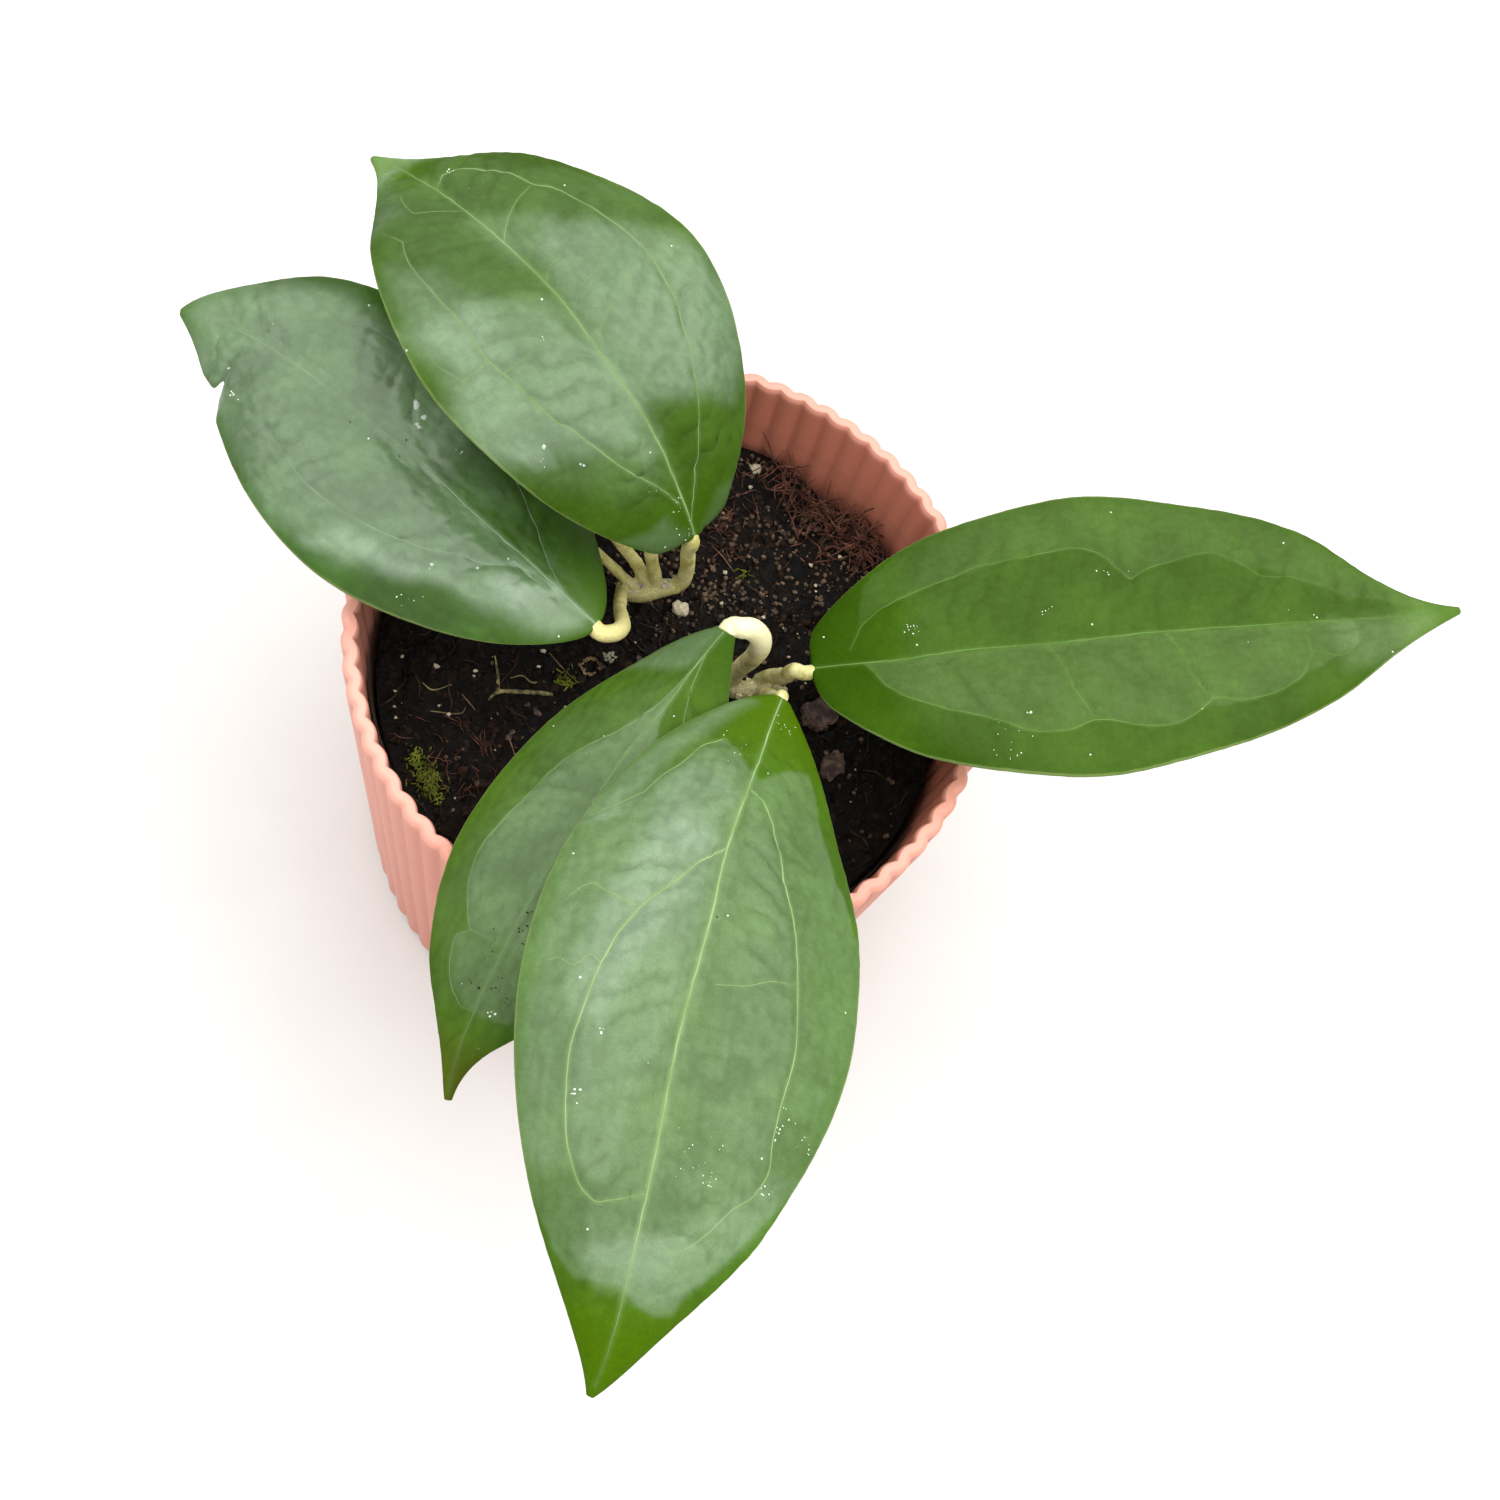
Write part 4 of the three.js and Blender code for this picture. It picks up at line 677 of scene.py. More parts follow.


# %% [markdown]
# Leaf material. A hoya blade is a thick skin with a wax coat: deep green below, a clear gloss above it.
# The vein attributes pale it, the wax-and-sheen attribute greys it, partly as the wax's own tint and partly
# as painted sheen, the hollow attribute darkens its creases as painted shade, and the underside is paler and
# duller.
# Colours are darker than they look in daylight, since the sheen adds its own white.

# %% Leaf materials
def leaf_material(name, deep, fresh, foot, tip, vein, haze, foot_reach=0.16, tip_start=0.9, roughness=0.46,
                  wax=0.4, level=0.24, painted_crease_tone=0.88):
    """Waxed leaf skin. The foot and tip of a blade are often a younger, yellower green."""
    made, tree, shader, place = new_material(name)
    blade = add(tree, "ShaderNodeUVMap", {"uv_map": "blade"}).outputs[0]
    patches, mottle, fine, grain = [
        add(tree, "ShaderNodeTexNoise", {}, {"Vector": blade, "Scale": scale, "Detail": detail}).outputs[0]
        for scale, detail in ((0.55, 3), (2.4, 4), (9, 4), (26, 3))]
    share, side, bloom_and_sheen, hollow, thin, strong, face_up = [
        add(tree, "ShaderNodeAttribute", {"attribute_name": key}).outputs["Fac"]
        for key in ("share", "side", "bloom_and_sheen", "hollow", "thin", "strong", "face_up")]
    wander = add(tree, "ShaderNodeMath", {"operation": "MULTIPLY"}, {0: patches, 1: 0.08}).outputs[0]
    place_along = add(tree, "ShaderNodeMath", {"operation": "ADD"}, {0: share, 1: wander}).outputs[0]
    speckle = add(tree, "ShaderNodeMath", {"operation": "ADD"}, {0: fine, 1: grain}).outputs[0]
    off_middle = add(tree, "ShaderNodeMath", {"operation": "ABSOLUTE"}, {0: side}).outputs[0]
    specks = add(tree, "ShaderNodeTexVoronoi", {}, {"Vector": blade, "Scale": 3.0})
    speck_tone = add(tree, "ShaderNodeSeparateColor", {}, {0: specks.outputs["Color"]}).outputs[0]
    chosen = add(tree, "ShaderNodeMath", {"operation": "GREATER_THAN"}, {0: speck_tone, 1: 0.75}).outputs[0]

    # Soft steps: what each one reads, where it starts and ends, and what it gives there
    young, at_foot, at_tip, bloom_and_sheen_share, hollow_shade_on_sheen, tone, painted_crease_shade, at_margin, speck, rough, dull, coat = [
        add(tree, "ShaderNodeMapRange", {"interpolation_type": "SMOOTHSTEP"},
            {"Value": value, "From Min": low, "From Max": high, "To Min": start, "To Max": end}).outputs[0]
        for value, low, high, start, end in (
            (patches, 0.35, 0.68, 0, 1),
            (place_along, 0.04, foot_reach + 0.06, 1, 0),
            (place_along, tip_start, tip_start + 0.1, 0, 1),
            (mottle, 0.25, 0.7, 0.95, 1.05),
            # Hollows get less of the grey and a darker green: painted shade in the creases.
            (hollow, 0.3, 0.75, 1.08, 0.92),
            (speckle, 0.75, 1.25, 0.93, 1.07),
            (hollow, 0.3, 0.85, 1.06, painted_crease_tone),
            (off_middle, 0.985, 1.0, 0, 0.35),
            (specks.outputs["Distance"], 0.03, 0.075, 1, 0),
            (fine, 0.3, 0.7, roughness - 0.04, roughness + 0.06),
            (bloom_and_sheen, 0, 0.5, 0.14, 0),
            (bloom_and_sheen, 0, 0.8, 0.1 * wax, 1.3 * wax))]
    bloom_and_sheen_share, tone, speck, thin_line, strong_line, back_line, coarse_relief, fine_relief, grain_relief = [
        add(tree, "ShaderNodeMath", {"operation": "MULTIPLY"}, {0: first, 1: second}).outputs[0]
        for first, second in (
            (bloom_and_sheen_share, hollow_shade_on_sheen), (tone, painted_crease_shade), (speck, chosen), (thin, 0.22), (strong, 0.28), (strong, 0.5),
            (mottle, 0.8), (fine, 0.25), (grain, 0.06))]
    bloom_and_sheen_share = add(tree, "ShaderNodeMath", {"operation": "MULTIPLY"}, {0: bloom_and_sheen_share, 1: 0.5}).outputs[0]
    # The greying toward the haze colour is partly the wax's own tint and partly painted sheen.
    greyed_by_bloom_and_sheen = add(tree, "ShaderNodeMath", {"operation": "MULTIPLY"}, {0: bloom_and_sheen, 1: bloom_and_sheen_share}).outputs[0]
    speck = add(tree, "ShaderNodeMath", {"operation": "MULTIPLY"}, {0: speck, 1: 0.7}).outputs[0]

    green = colour(deep)
    for factor, paint in ((young, fresh), (at_foot, foot), (at_tip, tip), (greyed_by_bloom_and_sheen, haze)):
        green = add(tree, "ShaderNodeMix", {"data_type": "RGBA"},
                    {0: factor, 6: green, 7: colour(paint)}).outputs[2]
    # The green is scaled by speckle and by painted shade in the hollows between the puckers.
    green = add(tree, "ShaderNodeVectorMath", {"operation": "SCALE"}, {0: green, "Scale": tone}).outputs[0]
    for factor, paint in ((thin_line, vein), (strong_line, vein), (at_margin, "#8a9a5c"),
                          (speck, "#e3e8da")):
        green = add(tree, "ShaderNodeMix", {"data_type": "RGBA"},
                    {0: factor, 6: green, 7: colour(paint)}).outputs[2]
    under = add(tree, "ShaderNodeMix", {"data_type": "RGBA"},
                {0: back_line, 6: colour("#6d8a52"), 7: colour("#a9b889")}).outputs[2]
    skin = add(tree, "ShaderNodeMix", {"data_type": "RGBA"}, {0: face_up, 6: under, 7: green}).outputs[2]
    rough = add(tree, "ShaderNodeMath", {"operation": "ADD"}, {0: rough, 1: dull}).outputs[0]
    relief = add(tree, "ShaderNodeMath", {"operation": "ADD"}, {0: fine_relief, 1: grain_relief}).outputs[0]
    relief = add(tree, "ShaderNodeMath", {"operation": "ADD"}, {0: coarse_relief, 1: relief}).outputs[0]
    tree.links.new(skin, shader.inputs["Base Color"])
    tree.links.new(rough, shader.inputs["Roughness"])
    tree.links.new(coat, shader.inputs["Coat Weight"])
    shader.inputs["IOR"].default_value = 1.47
    shader.inputs["Specular IOR Level"].default_value = level
    shader.inputs["Coat Roughness"].default_value = 0.25
    shader.inputs["Coat IOR"].default_value = 1.45
    bump = add(tree, "ShaderNodeBump", {}, {"Strength": 0.7, "Distance": 0.0004, "Height": relief})
    tree.links.new(bump.outputs[0], shader.inputs["Normal"])
    return made


# The last colour of each blade, its haze, is partly wax bloom and partly painted sheen.
LEAF_FINISH = {
    "leaf_top": leaf_material("waxed_leaf_top", "#2e4708", "#385410", "#314d02", "#4c6e10", "#7f9a66",
                              "#80967c", wax=0.4, level=0.06),
    "leaf_left": leaf_material("waxed_leaf_left", "#2a430f", "#345518", "#355308", "#3c5a20", "#8ba084",
                               "#8ca188", roughness=0.38, wax=0.8, level=0.15),
    "leaf_right": leaf_material("waxed_leaf_right", "#2a4306", "#34500d", "#264002", "#466224", "#6f8f48",
                                "#889d70", roughness=0.55, wax=0.1, level=0.02, painted_crease_tone=0.95),
    "leaf_front_left": leaf_material("waxed_leaf_front_left", "#344e12", "#3f5b16", "#2e4a07", "#424f0a",
                                     "#728a5c", "#84957f", roughness=0.48, wax=0.2, level=0.05),
    "leaf_front": leaf_material("waxed_leaf_front", "#365310", "#406018", "#3c5802", "#3c5a00", "#93ad72",
                                "#8b9c88", foot_reach=0.2, tip_start=0.87, wax=0.3, level=0.03,
                                painted_crease_tone=0.85),
}
print("leaf finishes:", list(LEAF_FINISH))

# %% [markdown]
# The veins that catch the eye stand a hair above the skin and are paler than it. Thin flat cords laid on
# the finished blade keep a crisp line there, which a texture of the same size would blur.

# %% Fine veins
VEIN_TONES = {"leaf_top": ("#5f7b42", "#76905c"), "leaf_left": ("#5f7956", "#788e70"),
              "leaf_right": ("#47672a", "#5b7b3c"), "leaf_front_left": ("#4f6c38", "#688255"),
              "leaf_front": ("#6c874f", "#869d6b")}


def on_blade(leaf, u, v):
    """Places and normals of spots on the upper face of a blade."""
    i = np.clip(np.interp(u, leaf["shares"], np.arange(ROWS)), 0, ROWS - 1.001)
    j = np.clip(np.interp(v, leaf["sides"], np.arange(COLUMNS)), 0, COLUMNS - 1.001)
    row, column = i.astype(int), j.astype(int)
    a, b = (i - row)[:, None], (j - column)[:, None]

    def blend(grid):
        return ((grid[row, column] * (1 - b) + grid[row, column + 1] * b) * (1 - a)
                + (grid[row + 1, column] * (1 - b) + grid[row + 1, column + 1] * b) * a)

    return blend(leaf["sheet"]), blend(leaf["normal"])


def vein_cords(name):
    """The listed veins, as flat cords a few hundredths of a millimetre high."""
    leaf = LEAVES[name]
    profile = np.array([(-0.5, -0.12), (-0.3, 0.025), (0, 0.05), (0.3, 0.025), (0.5, -0.12), (0, -0.2)])
    points, faces = [], []
    by_hand = len(VEINS[name]) + 1
    for route, widths, strengths in vein_routes(name, np.random.default_rng(1))[:by_hand]:
        even = np.linspace(0, 1, 3 * len(route))
        u, v = (np.interp(even, np.linspace(0, 1, len(route)), route[:, k]) for k in (0, 1))
        strength = np.interp(even, np.linspace(0, 1, len(strengths)), strengths)
        width = 1.25 * np.interp(even, np.linspace(0, 1, len(widths)), widths)
        width = width * np.clip(0.15 + strength, 0.2, 1)
        width = width * (1 - smoothstep(even, 0.85, 1) * 0.7) * (1 + 0.12 * np.sin(90 * even))
        spot, normal = on_blade(leaf, u, v)
        along = np.gradient(spot, axis=0)
        along /= np.linalg.norm(along, axis=1, keepdims=True)
        side = np.cross(normal, along)
        rings = (spot[:, None] + profile[:, 0, None] * (width[:, None] * side)[:, None]
                 + profile[:, 1, None] * normal[:, None])
        faces += ring_faces(len(even), len(profile), first=sum(len(p) for p in points))
        points.append(rings.reshape(-1, 3))
    finish = plain_finish("vein_of_" + name, *VEIN_TONES[name], 0.5, 3)
    return turn_out(piece(name + "_veins", np.concatenate(points), faces, finish))


# %% [markdown]
# Each blade gets its own skin and seed, so no two are alike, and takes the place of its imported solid.

# %% Make the blades
for seed, name in enumerate(LEAVES):
    finish_piece(make_leaf(name, LEAF_FINISH[name], seed + 3), "leaf", name)
    finish_piece(vein_cords(name), "leaf")

# %% [markdown]
# The pot is thin plastic pressed into 72 flutes, so a crest outside is a hollow inside. A plain turned
# wall is made first, and Geometry Nodes then push its two faces in and out by one rule of the angle.

# %% Sizes of the pot
POT_HEIGHT, POT_WALL, POT_FLOOR = 92, 2.4, 4
POT_RIM_RADIUS, POT_BASE_RADIUS = 60, 55
FLUTES, FLUTE_DEPTH, FLUTE_ROUNDNESS, FLUTE_PHASE = 72, 1.0, 0.7, 4.4
STEPS_PER_FLUTE = 12


def rounded(profile, corners, steps=4):
    """A profile of (r, z) with the named corners rounded to a radius."""
    result = []
    for k, point in enumerate(profile):
        if k not in corners:
            result.append(point)
            continue
        here = np.array(point, float)
        before, after = np.array(profile[k - 1], float), np.array(profile[k + 1], float)
        arm_in = (before - here) / np.linalg.norm(before - here)
        arm_out = (after - here) / np.linalg.norm(after - here)
        start, end = here + corners[k] * arm_in, here + corners[k] * arm_out
        for t in np.linspace(0, 1, steps + 1):
            result.append(tuple((1 - t) ** 2 * start + 2 * t * (1 - t) * here + t * t * end))
    return result


def lathe(name, profile, sides, material, values=()):
    """A closed wall from a profile that starts and ends on the axis."""
    angle = 2 * np.pi * np.arange(sides) / sides
    rings = [np.stack([r * np.cos(angle), r * np.sin(angle), z + 0 * angle], -1) for r, z in profile[1:-1]]
    points = np.concatenate(rings + [np.array([[0, 0, profile[0][1]], [0, 0, profile[-1][1]]])])
    faces = ring_faces(len(rings), sides, close_ends=False)
    hub = len(rings) * sides
    last = (len(rings) - 1) * sides
    faces += [[hub, (k + 1) % sides, k] for k in range(sides)]
    faces += [[hub + 1, last + k, last + (k + 1) % sides] for k in range(sides)]
    spread = {key: np.concatenate([np.repeat(numbers[1:-1], sides), [0, 0]]) for key,
              numbers in dict(values).items()}
    return turn_out(piece(name, points, faces, material, spread))


# %% [markdown]
# The pot is polypropylene, injection moulded, with a satin skin: a soft, broad gloss over one even salmon
# pink. Its flat rim, which faces up into the light, is painted paler, and the side that stands in the light
# is painted lighter; both are painted light.

# %% Pot material
salmon, tree, shader, place = new_material("satin_polypropylene")
cloud = add(tree, "ShaderNodeTexNoise", {}, {"Vector": place, "Scale": 60, "Detail": 3}).outputs[0]
tint = add(tree, "ShaderNodeMix", {"data_type": "RGBA"},
           {0: cloud, 6: colour("#b96e59"), 7: colour("#c17862")}).outputs[2]
high = add(tree, "ShaderNodeSeparateXYZ", {}, {0: place}).outputs["Z"]
# Painted light: the flat rim, which faces up into the light, is painted paler.
painted_lit_rim = add(tree, "ShaderNodeMapRange", {"interpolation_type": "SMOOTHSTEP"},
             {"Value": high, "From Min": 0.0895, "From Max": 0.092, "To Min": 0.0,
              "To Max": 0.75}).outputs[0]
tint = add(tree, "ShaderNodeMix", {"data_type": "RGBA"},
           {0: painted_lit_rim, 6: tint, 7: colour("#d89684")}).outputs[2]
# Painted light: the side towards the light, at -X, is painted lighter.
painted_lit_side = add(tree, "ShaderNodeSeparateXYZ", {}, {0: place}).outputs["X"]
painted_lit_side = add(tree, "ShaderNodeMapRange", {"interpolation_type": "SMOOTHSTEP"},
             {"Value": painted_lit_side, "From Min": -0.02, "From Max": -0.055, "To Min": 0.0,
              "To Max": 0.3}).outputs[0]
tint = add(tree, "ShaderNodeMix", {"data_type": "RGBA"},
           {0: painted_lit_side, 6: tint, 7: colour("#e2a899")}).outputs[2]
tree.links.new(tint, shader.inputs["Base Color"])
skin = add(tree, "ShaderNodeTexNoise", {}, {"Vector": place, "Scale": 2500, "Detail": 2}).outputs[0]
gloss = add(tree, "ShaderNodeMapRange", {}, {"Value": skin, "To Min": 0.4, "To Max": 0.5}).outputs[0]
tree.links.new(gloss, shader.inputs["Roughness"])
shader.inputs["IOR"].default_value = 1.49
bump = add(tree, "ShaderNodeBump", {}, {"Strength": 0.15, "Distance": 0.0001, "Height": skin})
tree.links.new(bump.outputs[0], shader.inputs["Normal"])

# %% [markdown]
# A wave of the angle, sharper at its crests than a sine, moves the outer face out where it moves the
# inner face in. As nodes, its count and depth stay numbers that can be changed later.

# %% Flutes by Geometry Nodes
def socket(tree, name, kind, value):
    """Adds a named input to a Geometry Nodes tree."""
    made = tree.interface.new_socket(name, in_out="INPUT", socket_type=kind)
    if value is not None:
        made.default_value = value
    return made


def node_tree(name):
    """An empty Geometry Nodes tree, with its group input and output."""
    tree = bpy.data.node_groups.new(name, "GeometryNodeTree")
    tree.interface.new_socket("Geometry", in_out="INPUT", socket_type="NodeSocketGeometry")
    tree.interface.new_socket("Geometry", in_out="OUTPUT", socket_type="NodeSocketGeometry")
    return tree


def apply_tree(made, tree, values, material):
    """Runs a tree on a piece with named input values, and keeps the result as a plain mesh."""
    modifier = made.modifiers.new("shape", "NODES")
    modifier.node_group = tree
    for item in tree.interface.items_tree:
        if item.in_out == "INPUT" and item.name in values:
            modifier[item.identifier] = values[item.name]
    bpy.context.view_layer.update()
    result = bpy.data.meshes.new_from_object(made.evaluated_get(bpy.context.evaluated_depsgraph_get()))
    made.modifiers.remove(modifier)
    made.data = result
    result.materials.clear()
    result.materials.append(material)
    return made


flutes = node_tree("press_flutes")
socket(flutes, "Flutes", "NodeSocketFloat", 72.0)
socket(flutes, "Depth", "NodeSocketFloat", 0.001)
socket(flutes, "Roundness", "NodeSocketFloat", 0.7)
socket(flutes, "Phase", "NodeSocketFloat", 0.0)
given = add(flutes, "NodeGroupInput")
spot = add(flutes, "GeometryNodeInputPosition").outputs[0]
parts = add(flutes, "ShaderNodeSeparateXYZ", {}, {0: spot})
turned = add(flutes, "ShaderNodeMath", {"operation": "ARCTAN2"}, {0: parts.outputs[1], 1: parts.outputs[0]})
turned = add(flutes, "ShaderNodeMath", {"operation": "SUBTRACT"},
             {0: turned.outputs[0], 1: given.outputs["Phase"]})
face = add(flutes, "GeometryNodeInputNamedAttribute", {"data_type": "FLOAT"}, {"Name": "face"}).outputs[0]
inner = add(flutes, "ShaderNodeMath", {"operation": "LESS_THAN"}, {0: face, 1: 0.0}).outputs[0]
half_step = add(flutes, "ShaderNodeMath", {"operation": "DIVIDE"},
                {0: math.pi, 1: given.outputs["Flutes"]}).outputs[0]
turned = add(flutes, "ShaderNodeMath", {"operation": "MULTIPLY_ADD"},
             {0: inner, 1: half_step, 2: turned.outputs[0]}).outputs[0]
half_flutes = add(flutes, "ShaderNodeMath", {"operation": "MULTIPLY"},
                  {0: given.outputs["Flutes"], 1: 0.5}).outputs[0]
wave = add(flutes, "ShaderNodeMath", {"operation": "MULTIPLY"}, {0: turned, 1: half_flutes}).outputs[0]
wave = add(flutes, "ShaderNodeMath", {"operation": "COSINE"}, {0: wave}).outputs[0]
wave = add(flutes, "ShaderNodeMath", {"operation": "ABSOLUTE"}, {0: wave}).outputs[0]
wave = add(flutes, "ShaderNodeMath", {"operation": "POWER"},
           {0: wave, 1: given.outputs["Roundness"]}).outputs[0]
wave = add(flutes, "ShaderNodeMath", {"operation": "SUBTRACT"}, {0: wave, 1: 0.5}).outputs[0]
push = add(flutes, "ShaderNodeMath", {"operation": "MULTIPLY"},
           {0: wave, 1: given.outputs["Depth"]}).outputs[0]
push = add(flutes, "ShaderNodeMath", {"operation": "MULTIPLY"}, {0: push, 1: face}).outputs[0]
flat = add(flutes, "ShaderNodeVectorMath", {"operation": "MULTIPLY"}, {0: spot, 1: (1, 1, 0)}).outputs[0]
outward = add(flutes, "ShaderNodeVectorMath", {"operation": "NORMALIZE"}, {0: flat}).outputs[0]
offset = add(flutes, "ShaderNodeVectorMath", {"operation": "SCALE"}, {0: outward, "Scale": push}).outputs[0]
moved = add(flutes, "GeometryNodeSetPosition", {}, {"Geometry": given.outputs[0], "Offset": offset})
whole = add(flutes, "GeometryNodeRealizeInstances", {}, {0: moved.outputs[0]})
finished = add(flutes, "GeometryNodeSetMaterial", {}, {"Geometry": whole.outputs[0], "Material": salmon})
add(flutes, "NodeGroupOutput", {}, {0: finished.outputs[0]})

print("press_flutes has", len(flutes.nodes), "nodes")

# %% [markdown]
# The turned wall says with one value for each ring whether it is outside (1), inside (-1) or floor (0).

# %% Make the pot
inner_rim = POT_RIM_RADIUS - POT_WALL
inner_base = POT_BASE_RADIUS - POT_WALL + (POT_RIM_RADIUS - POT_BASE_RADIUS) * POT_FLOOR / POT_HEIGHT
pot_profile = rounded(
    [(0, 0), (POT_BASE_RADIUS - 1.5, 0), (POT_BASE_RADIUS, 1.5), (POT_RIM_RADIUS, POT_HEIGHT - 0.9),
     (POT_RIM_RADIUS - 0.9, POT_HEIGHT), (inner_rim + 0.45, POT_HEIGHT), (inner_rim, POT_HEIGHT - 0.9),
     (inner_base, POT_FLOOR), (0, POT_FLOOR)],
    {1: 0.7, 2: 0.7, 3: 0.5, 4: 0.5, 5: 0.2, 6: 0.4, 7: 1.5})
pot_faces = []
for r, z in pot_profile:
    line = inner_rim + 0.8 - (POT_HEIGHT - z) * (POT_RIM_RADIUS - POT_BASE_RADIUS) / POT_HEIGHT
    on_wall = 0 if r < POT_BASE_RADIUS - POT_WALL - 1 or (z < 1 and r < POT_BASE_RADIUS - 1.4) else 1
    pot_faces.append(on_wall * (1 if r > line else -1))
pot = lathe("pot_fluted", pot_profile, FLUTES * STEPS_PER_FLUTE, salmon, {"face": pot_faces})
apply_tree(pot, flutes, {"Flutes": float(FLUTES), "Depth": FLUTE_DEPTH * MM, "Roundness": FLUTE_ROUNDNESS,
                         "Phase": math.radians(FLUTE_PHASE)}, salmon)
finish_piece(pot, "pot", "pot")

# %% [markdown]
# Inside stands the thin clear pot that the plant was grown in. Only its rim and a strip of wall show.
# It stays see-through by its alpha, because light has to reach what lies behind it.

# %% Clear nursery pot
film, tree, shader, place = new_material("clear_polystyrene_film")
smear = add(tree, "ShaderNodeTexNoise", {}, {"Vector": place, "Scale": 90, "Detail": 4}).outputs[0]
stain = add(tree, "ShaderNodeMix", {"data_type": "RGBA"},
            {0: smear, 6: colour("#5a4038"), 7: colour("#a98d80")}).outputs[2]
tree.links.new(stain, shader.inputs["Base Color"])
cover = add(tree, "ShaderNodeMapRange", {}, {"Value": smear, "From Min": 0.35, "From Max": 0.75,
                                             "To Min": 0.05, "To Max": 0.2}).outputs[0]
rim_line = add(tree, "ShaderNodeSeparateXYZ", {}, {0: place}).outputs["Z"]
rim_line = add(tree, "ShaderNodeMapRange", {}, {"Value": rim_line, "From Min": 0.0785, "From Max": 0.0792,
                                                "To Min": 0.0, "To Max": 0.5}).outputs[0]
shaded = add(tree, "ShaderNodeSeparateXYZ", {}, {0: place}).outputs["X"]
shaded = add(tree, "ShaderNodeMapRange", {}, {"Value": shaded, "From Min": -0.03, "From Max": -0.01,
                                              "To Min": 1.0, "To Max": 0.05}).outputs[0]
rim_line = add(tree, "ShaderNodeMath", {"operation": "MULTIPLY"}, {0: rim_line, 1: shaded}).outputs[0]
cover = add(tree, "ShaderNodeMath", {"operation": "MULTIPLY"}, {0: cover, 1: shaded}).outputs[0]
cover = add(tree, "ShaderNodeMath", {"operation": "ADD"}, {0: cover, 1: rim_line}).outputs[0]
tree.links.new(cover, shader.inputs["Alpha"])
shader.inputs["Roughness"].default_value = 0.16
shader.inputs["IOR"].default_value = 1.59

LINER_WALL, LINER_RIM_RADIUS, LINER_BASE_RADIUS, LINER_RIM_HEIGHT = 0.7, 56, 51.2, 79.5
liner_floor = POT_FLOOR + 0.3
liner_profile = rounded(
    [(0, liner_floor), (LINER_BASE_RADIUS, liner_floor), (LINER_RIM_RADIUS, LINER_RIM_HEIGHT),
     (LINER_RIM_RADIUS - LINER_WALL, LINER_RIM_HEIGHT),
     (LINER_BASE_RADIUS - LINER_WALL, liner_floor + LINER_WALL), (0, liner_floor + LINER_WALL)],
    {1: 0.6, 2: 0.25, 3: 0.25, 4: 0.5}, 3)
liner = lathe("nursery_pot_clear", liner_profile, 192, film)
LINER_LEAN, LINER_HIGH_SIDE = 1.5, 60
for vertex in liner.data.vertices:
    if vertex.co.z > LINER_RIM_HEIGHT * MM - 0.01:
        lean = LINER_LEAN * math.cos(math.atan2(vertex.co.y, vertex.co.x) - math.radians(LINER_HIGH_SIDE))
        vertex.co.z += lean * MM
finish_piece(liner, "liner", "nursery_pot")

# %% [markdown]
# Peat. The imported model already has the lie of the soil, with its clods and its hollow, so the fine
# surface repeats that rule and breaks it up with crumbs of noise. Everything loose is then scattered.

# %% Soil surface
SOIL_LEVEL, SOIL_EDGE, CLODS = 73, 54.3, 30


def soil_height(x, y):
    """Height of the soil above the pot's underside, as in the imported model."""
    z = SOIL_LEVEL + 0.7 * np.sin(x / 9 + 1) * np.cos(y / 11) + 0.5 * np.cos(x / 5.5 - y / 7)
    for k in range(CLODS):
        turn = math.radians(137.5 * k)
        out = SOIL_EDGE * math.sqrt((k + 0.5) / CLODS)
        width = 3.6 * (1 + 0.4 * math.sin(1.7 * k))
        gap = (x - out * math.cos(turn)) ** 2 + (y - out * math.sin(turn)) ** 2
        z = z + 1.5 * math.sin(2.4 * k + 1) * np.exp(-gap / width ** 2)
    return z - 2.6 * np.exp(-((x - 20) ** 2 + (y - 47) ** 2) / 49)


# Moist peat: nearly black where it is wet, browner where crumbs have dried, with a faint wet gloss
peat, tree, shader, place = new_material("moist_peat")
coarse = add(tree, "ShaderNodeTexNoise", {}, {"Vector": place, "Scale": 220, "Detail": 5}).outputs[0]
dry = add(tree, "ShaderNodeMapRange", {}, {"Value": coarse, "From Min": 0.45, "From Max": 0.75}).outputs[0]
brown = add(tree, "ShaderNodeMix", {"data_type": "RGBA"},
            {0: dry, 6: colour("#080605"), 7: colour("#20170f")}).outputs[2]
# The low spots of the surface are made darker still, near black.
height = add(tree, "ShaderNodeAttribute", {"attribute_name": "raised"}).outputs["Fac"]
brown = add(tree, "ShaderNodeMix", {"data_type": "RGBA"},
            {0: height, 6: colour("#070504"), 7: brown}).outputs[2]
tree.links.new(brown, shader.inputs["Base Color"])
wet = add(tree, "ShaderNodeMapRange", {}, {"Value": coarse, "From Min": 0.3, "From Max": 0.7, "To Min": 0.55,
                                           "To Max": 0.95}).outputs[0]
tree.links.new(wet, shader.inputs["Roughness"])
shader.inputs["Specular IOR Level"].default_value = 0.12
grit = add(tree, "ShaderNodeTexNoise", {}, {"Vector": place, "Scale": 1400, "Detail": 4}).outputs[0]
bump = add(tree, "ShaderNodeBump", {}, {"Strength": 0.8, "Distance": 0.0006, "Height": grit})
tree.links.new(bump.outputs[0], shader.inputs["Normal"])

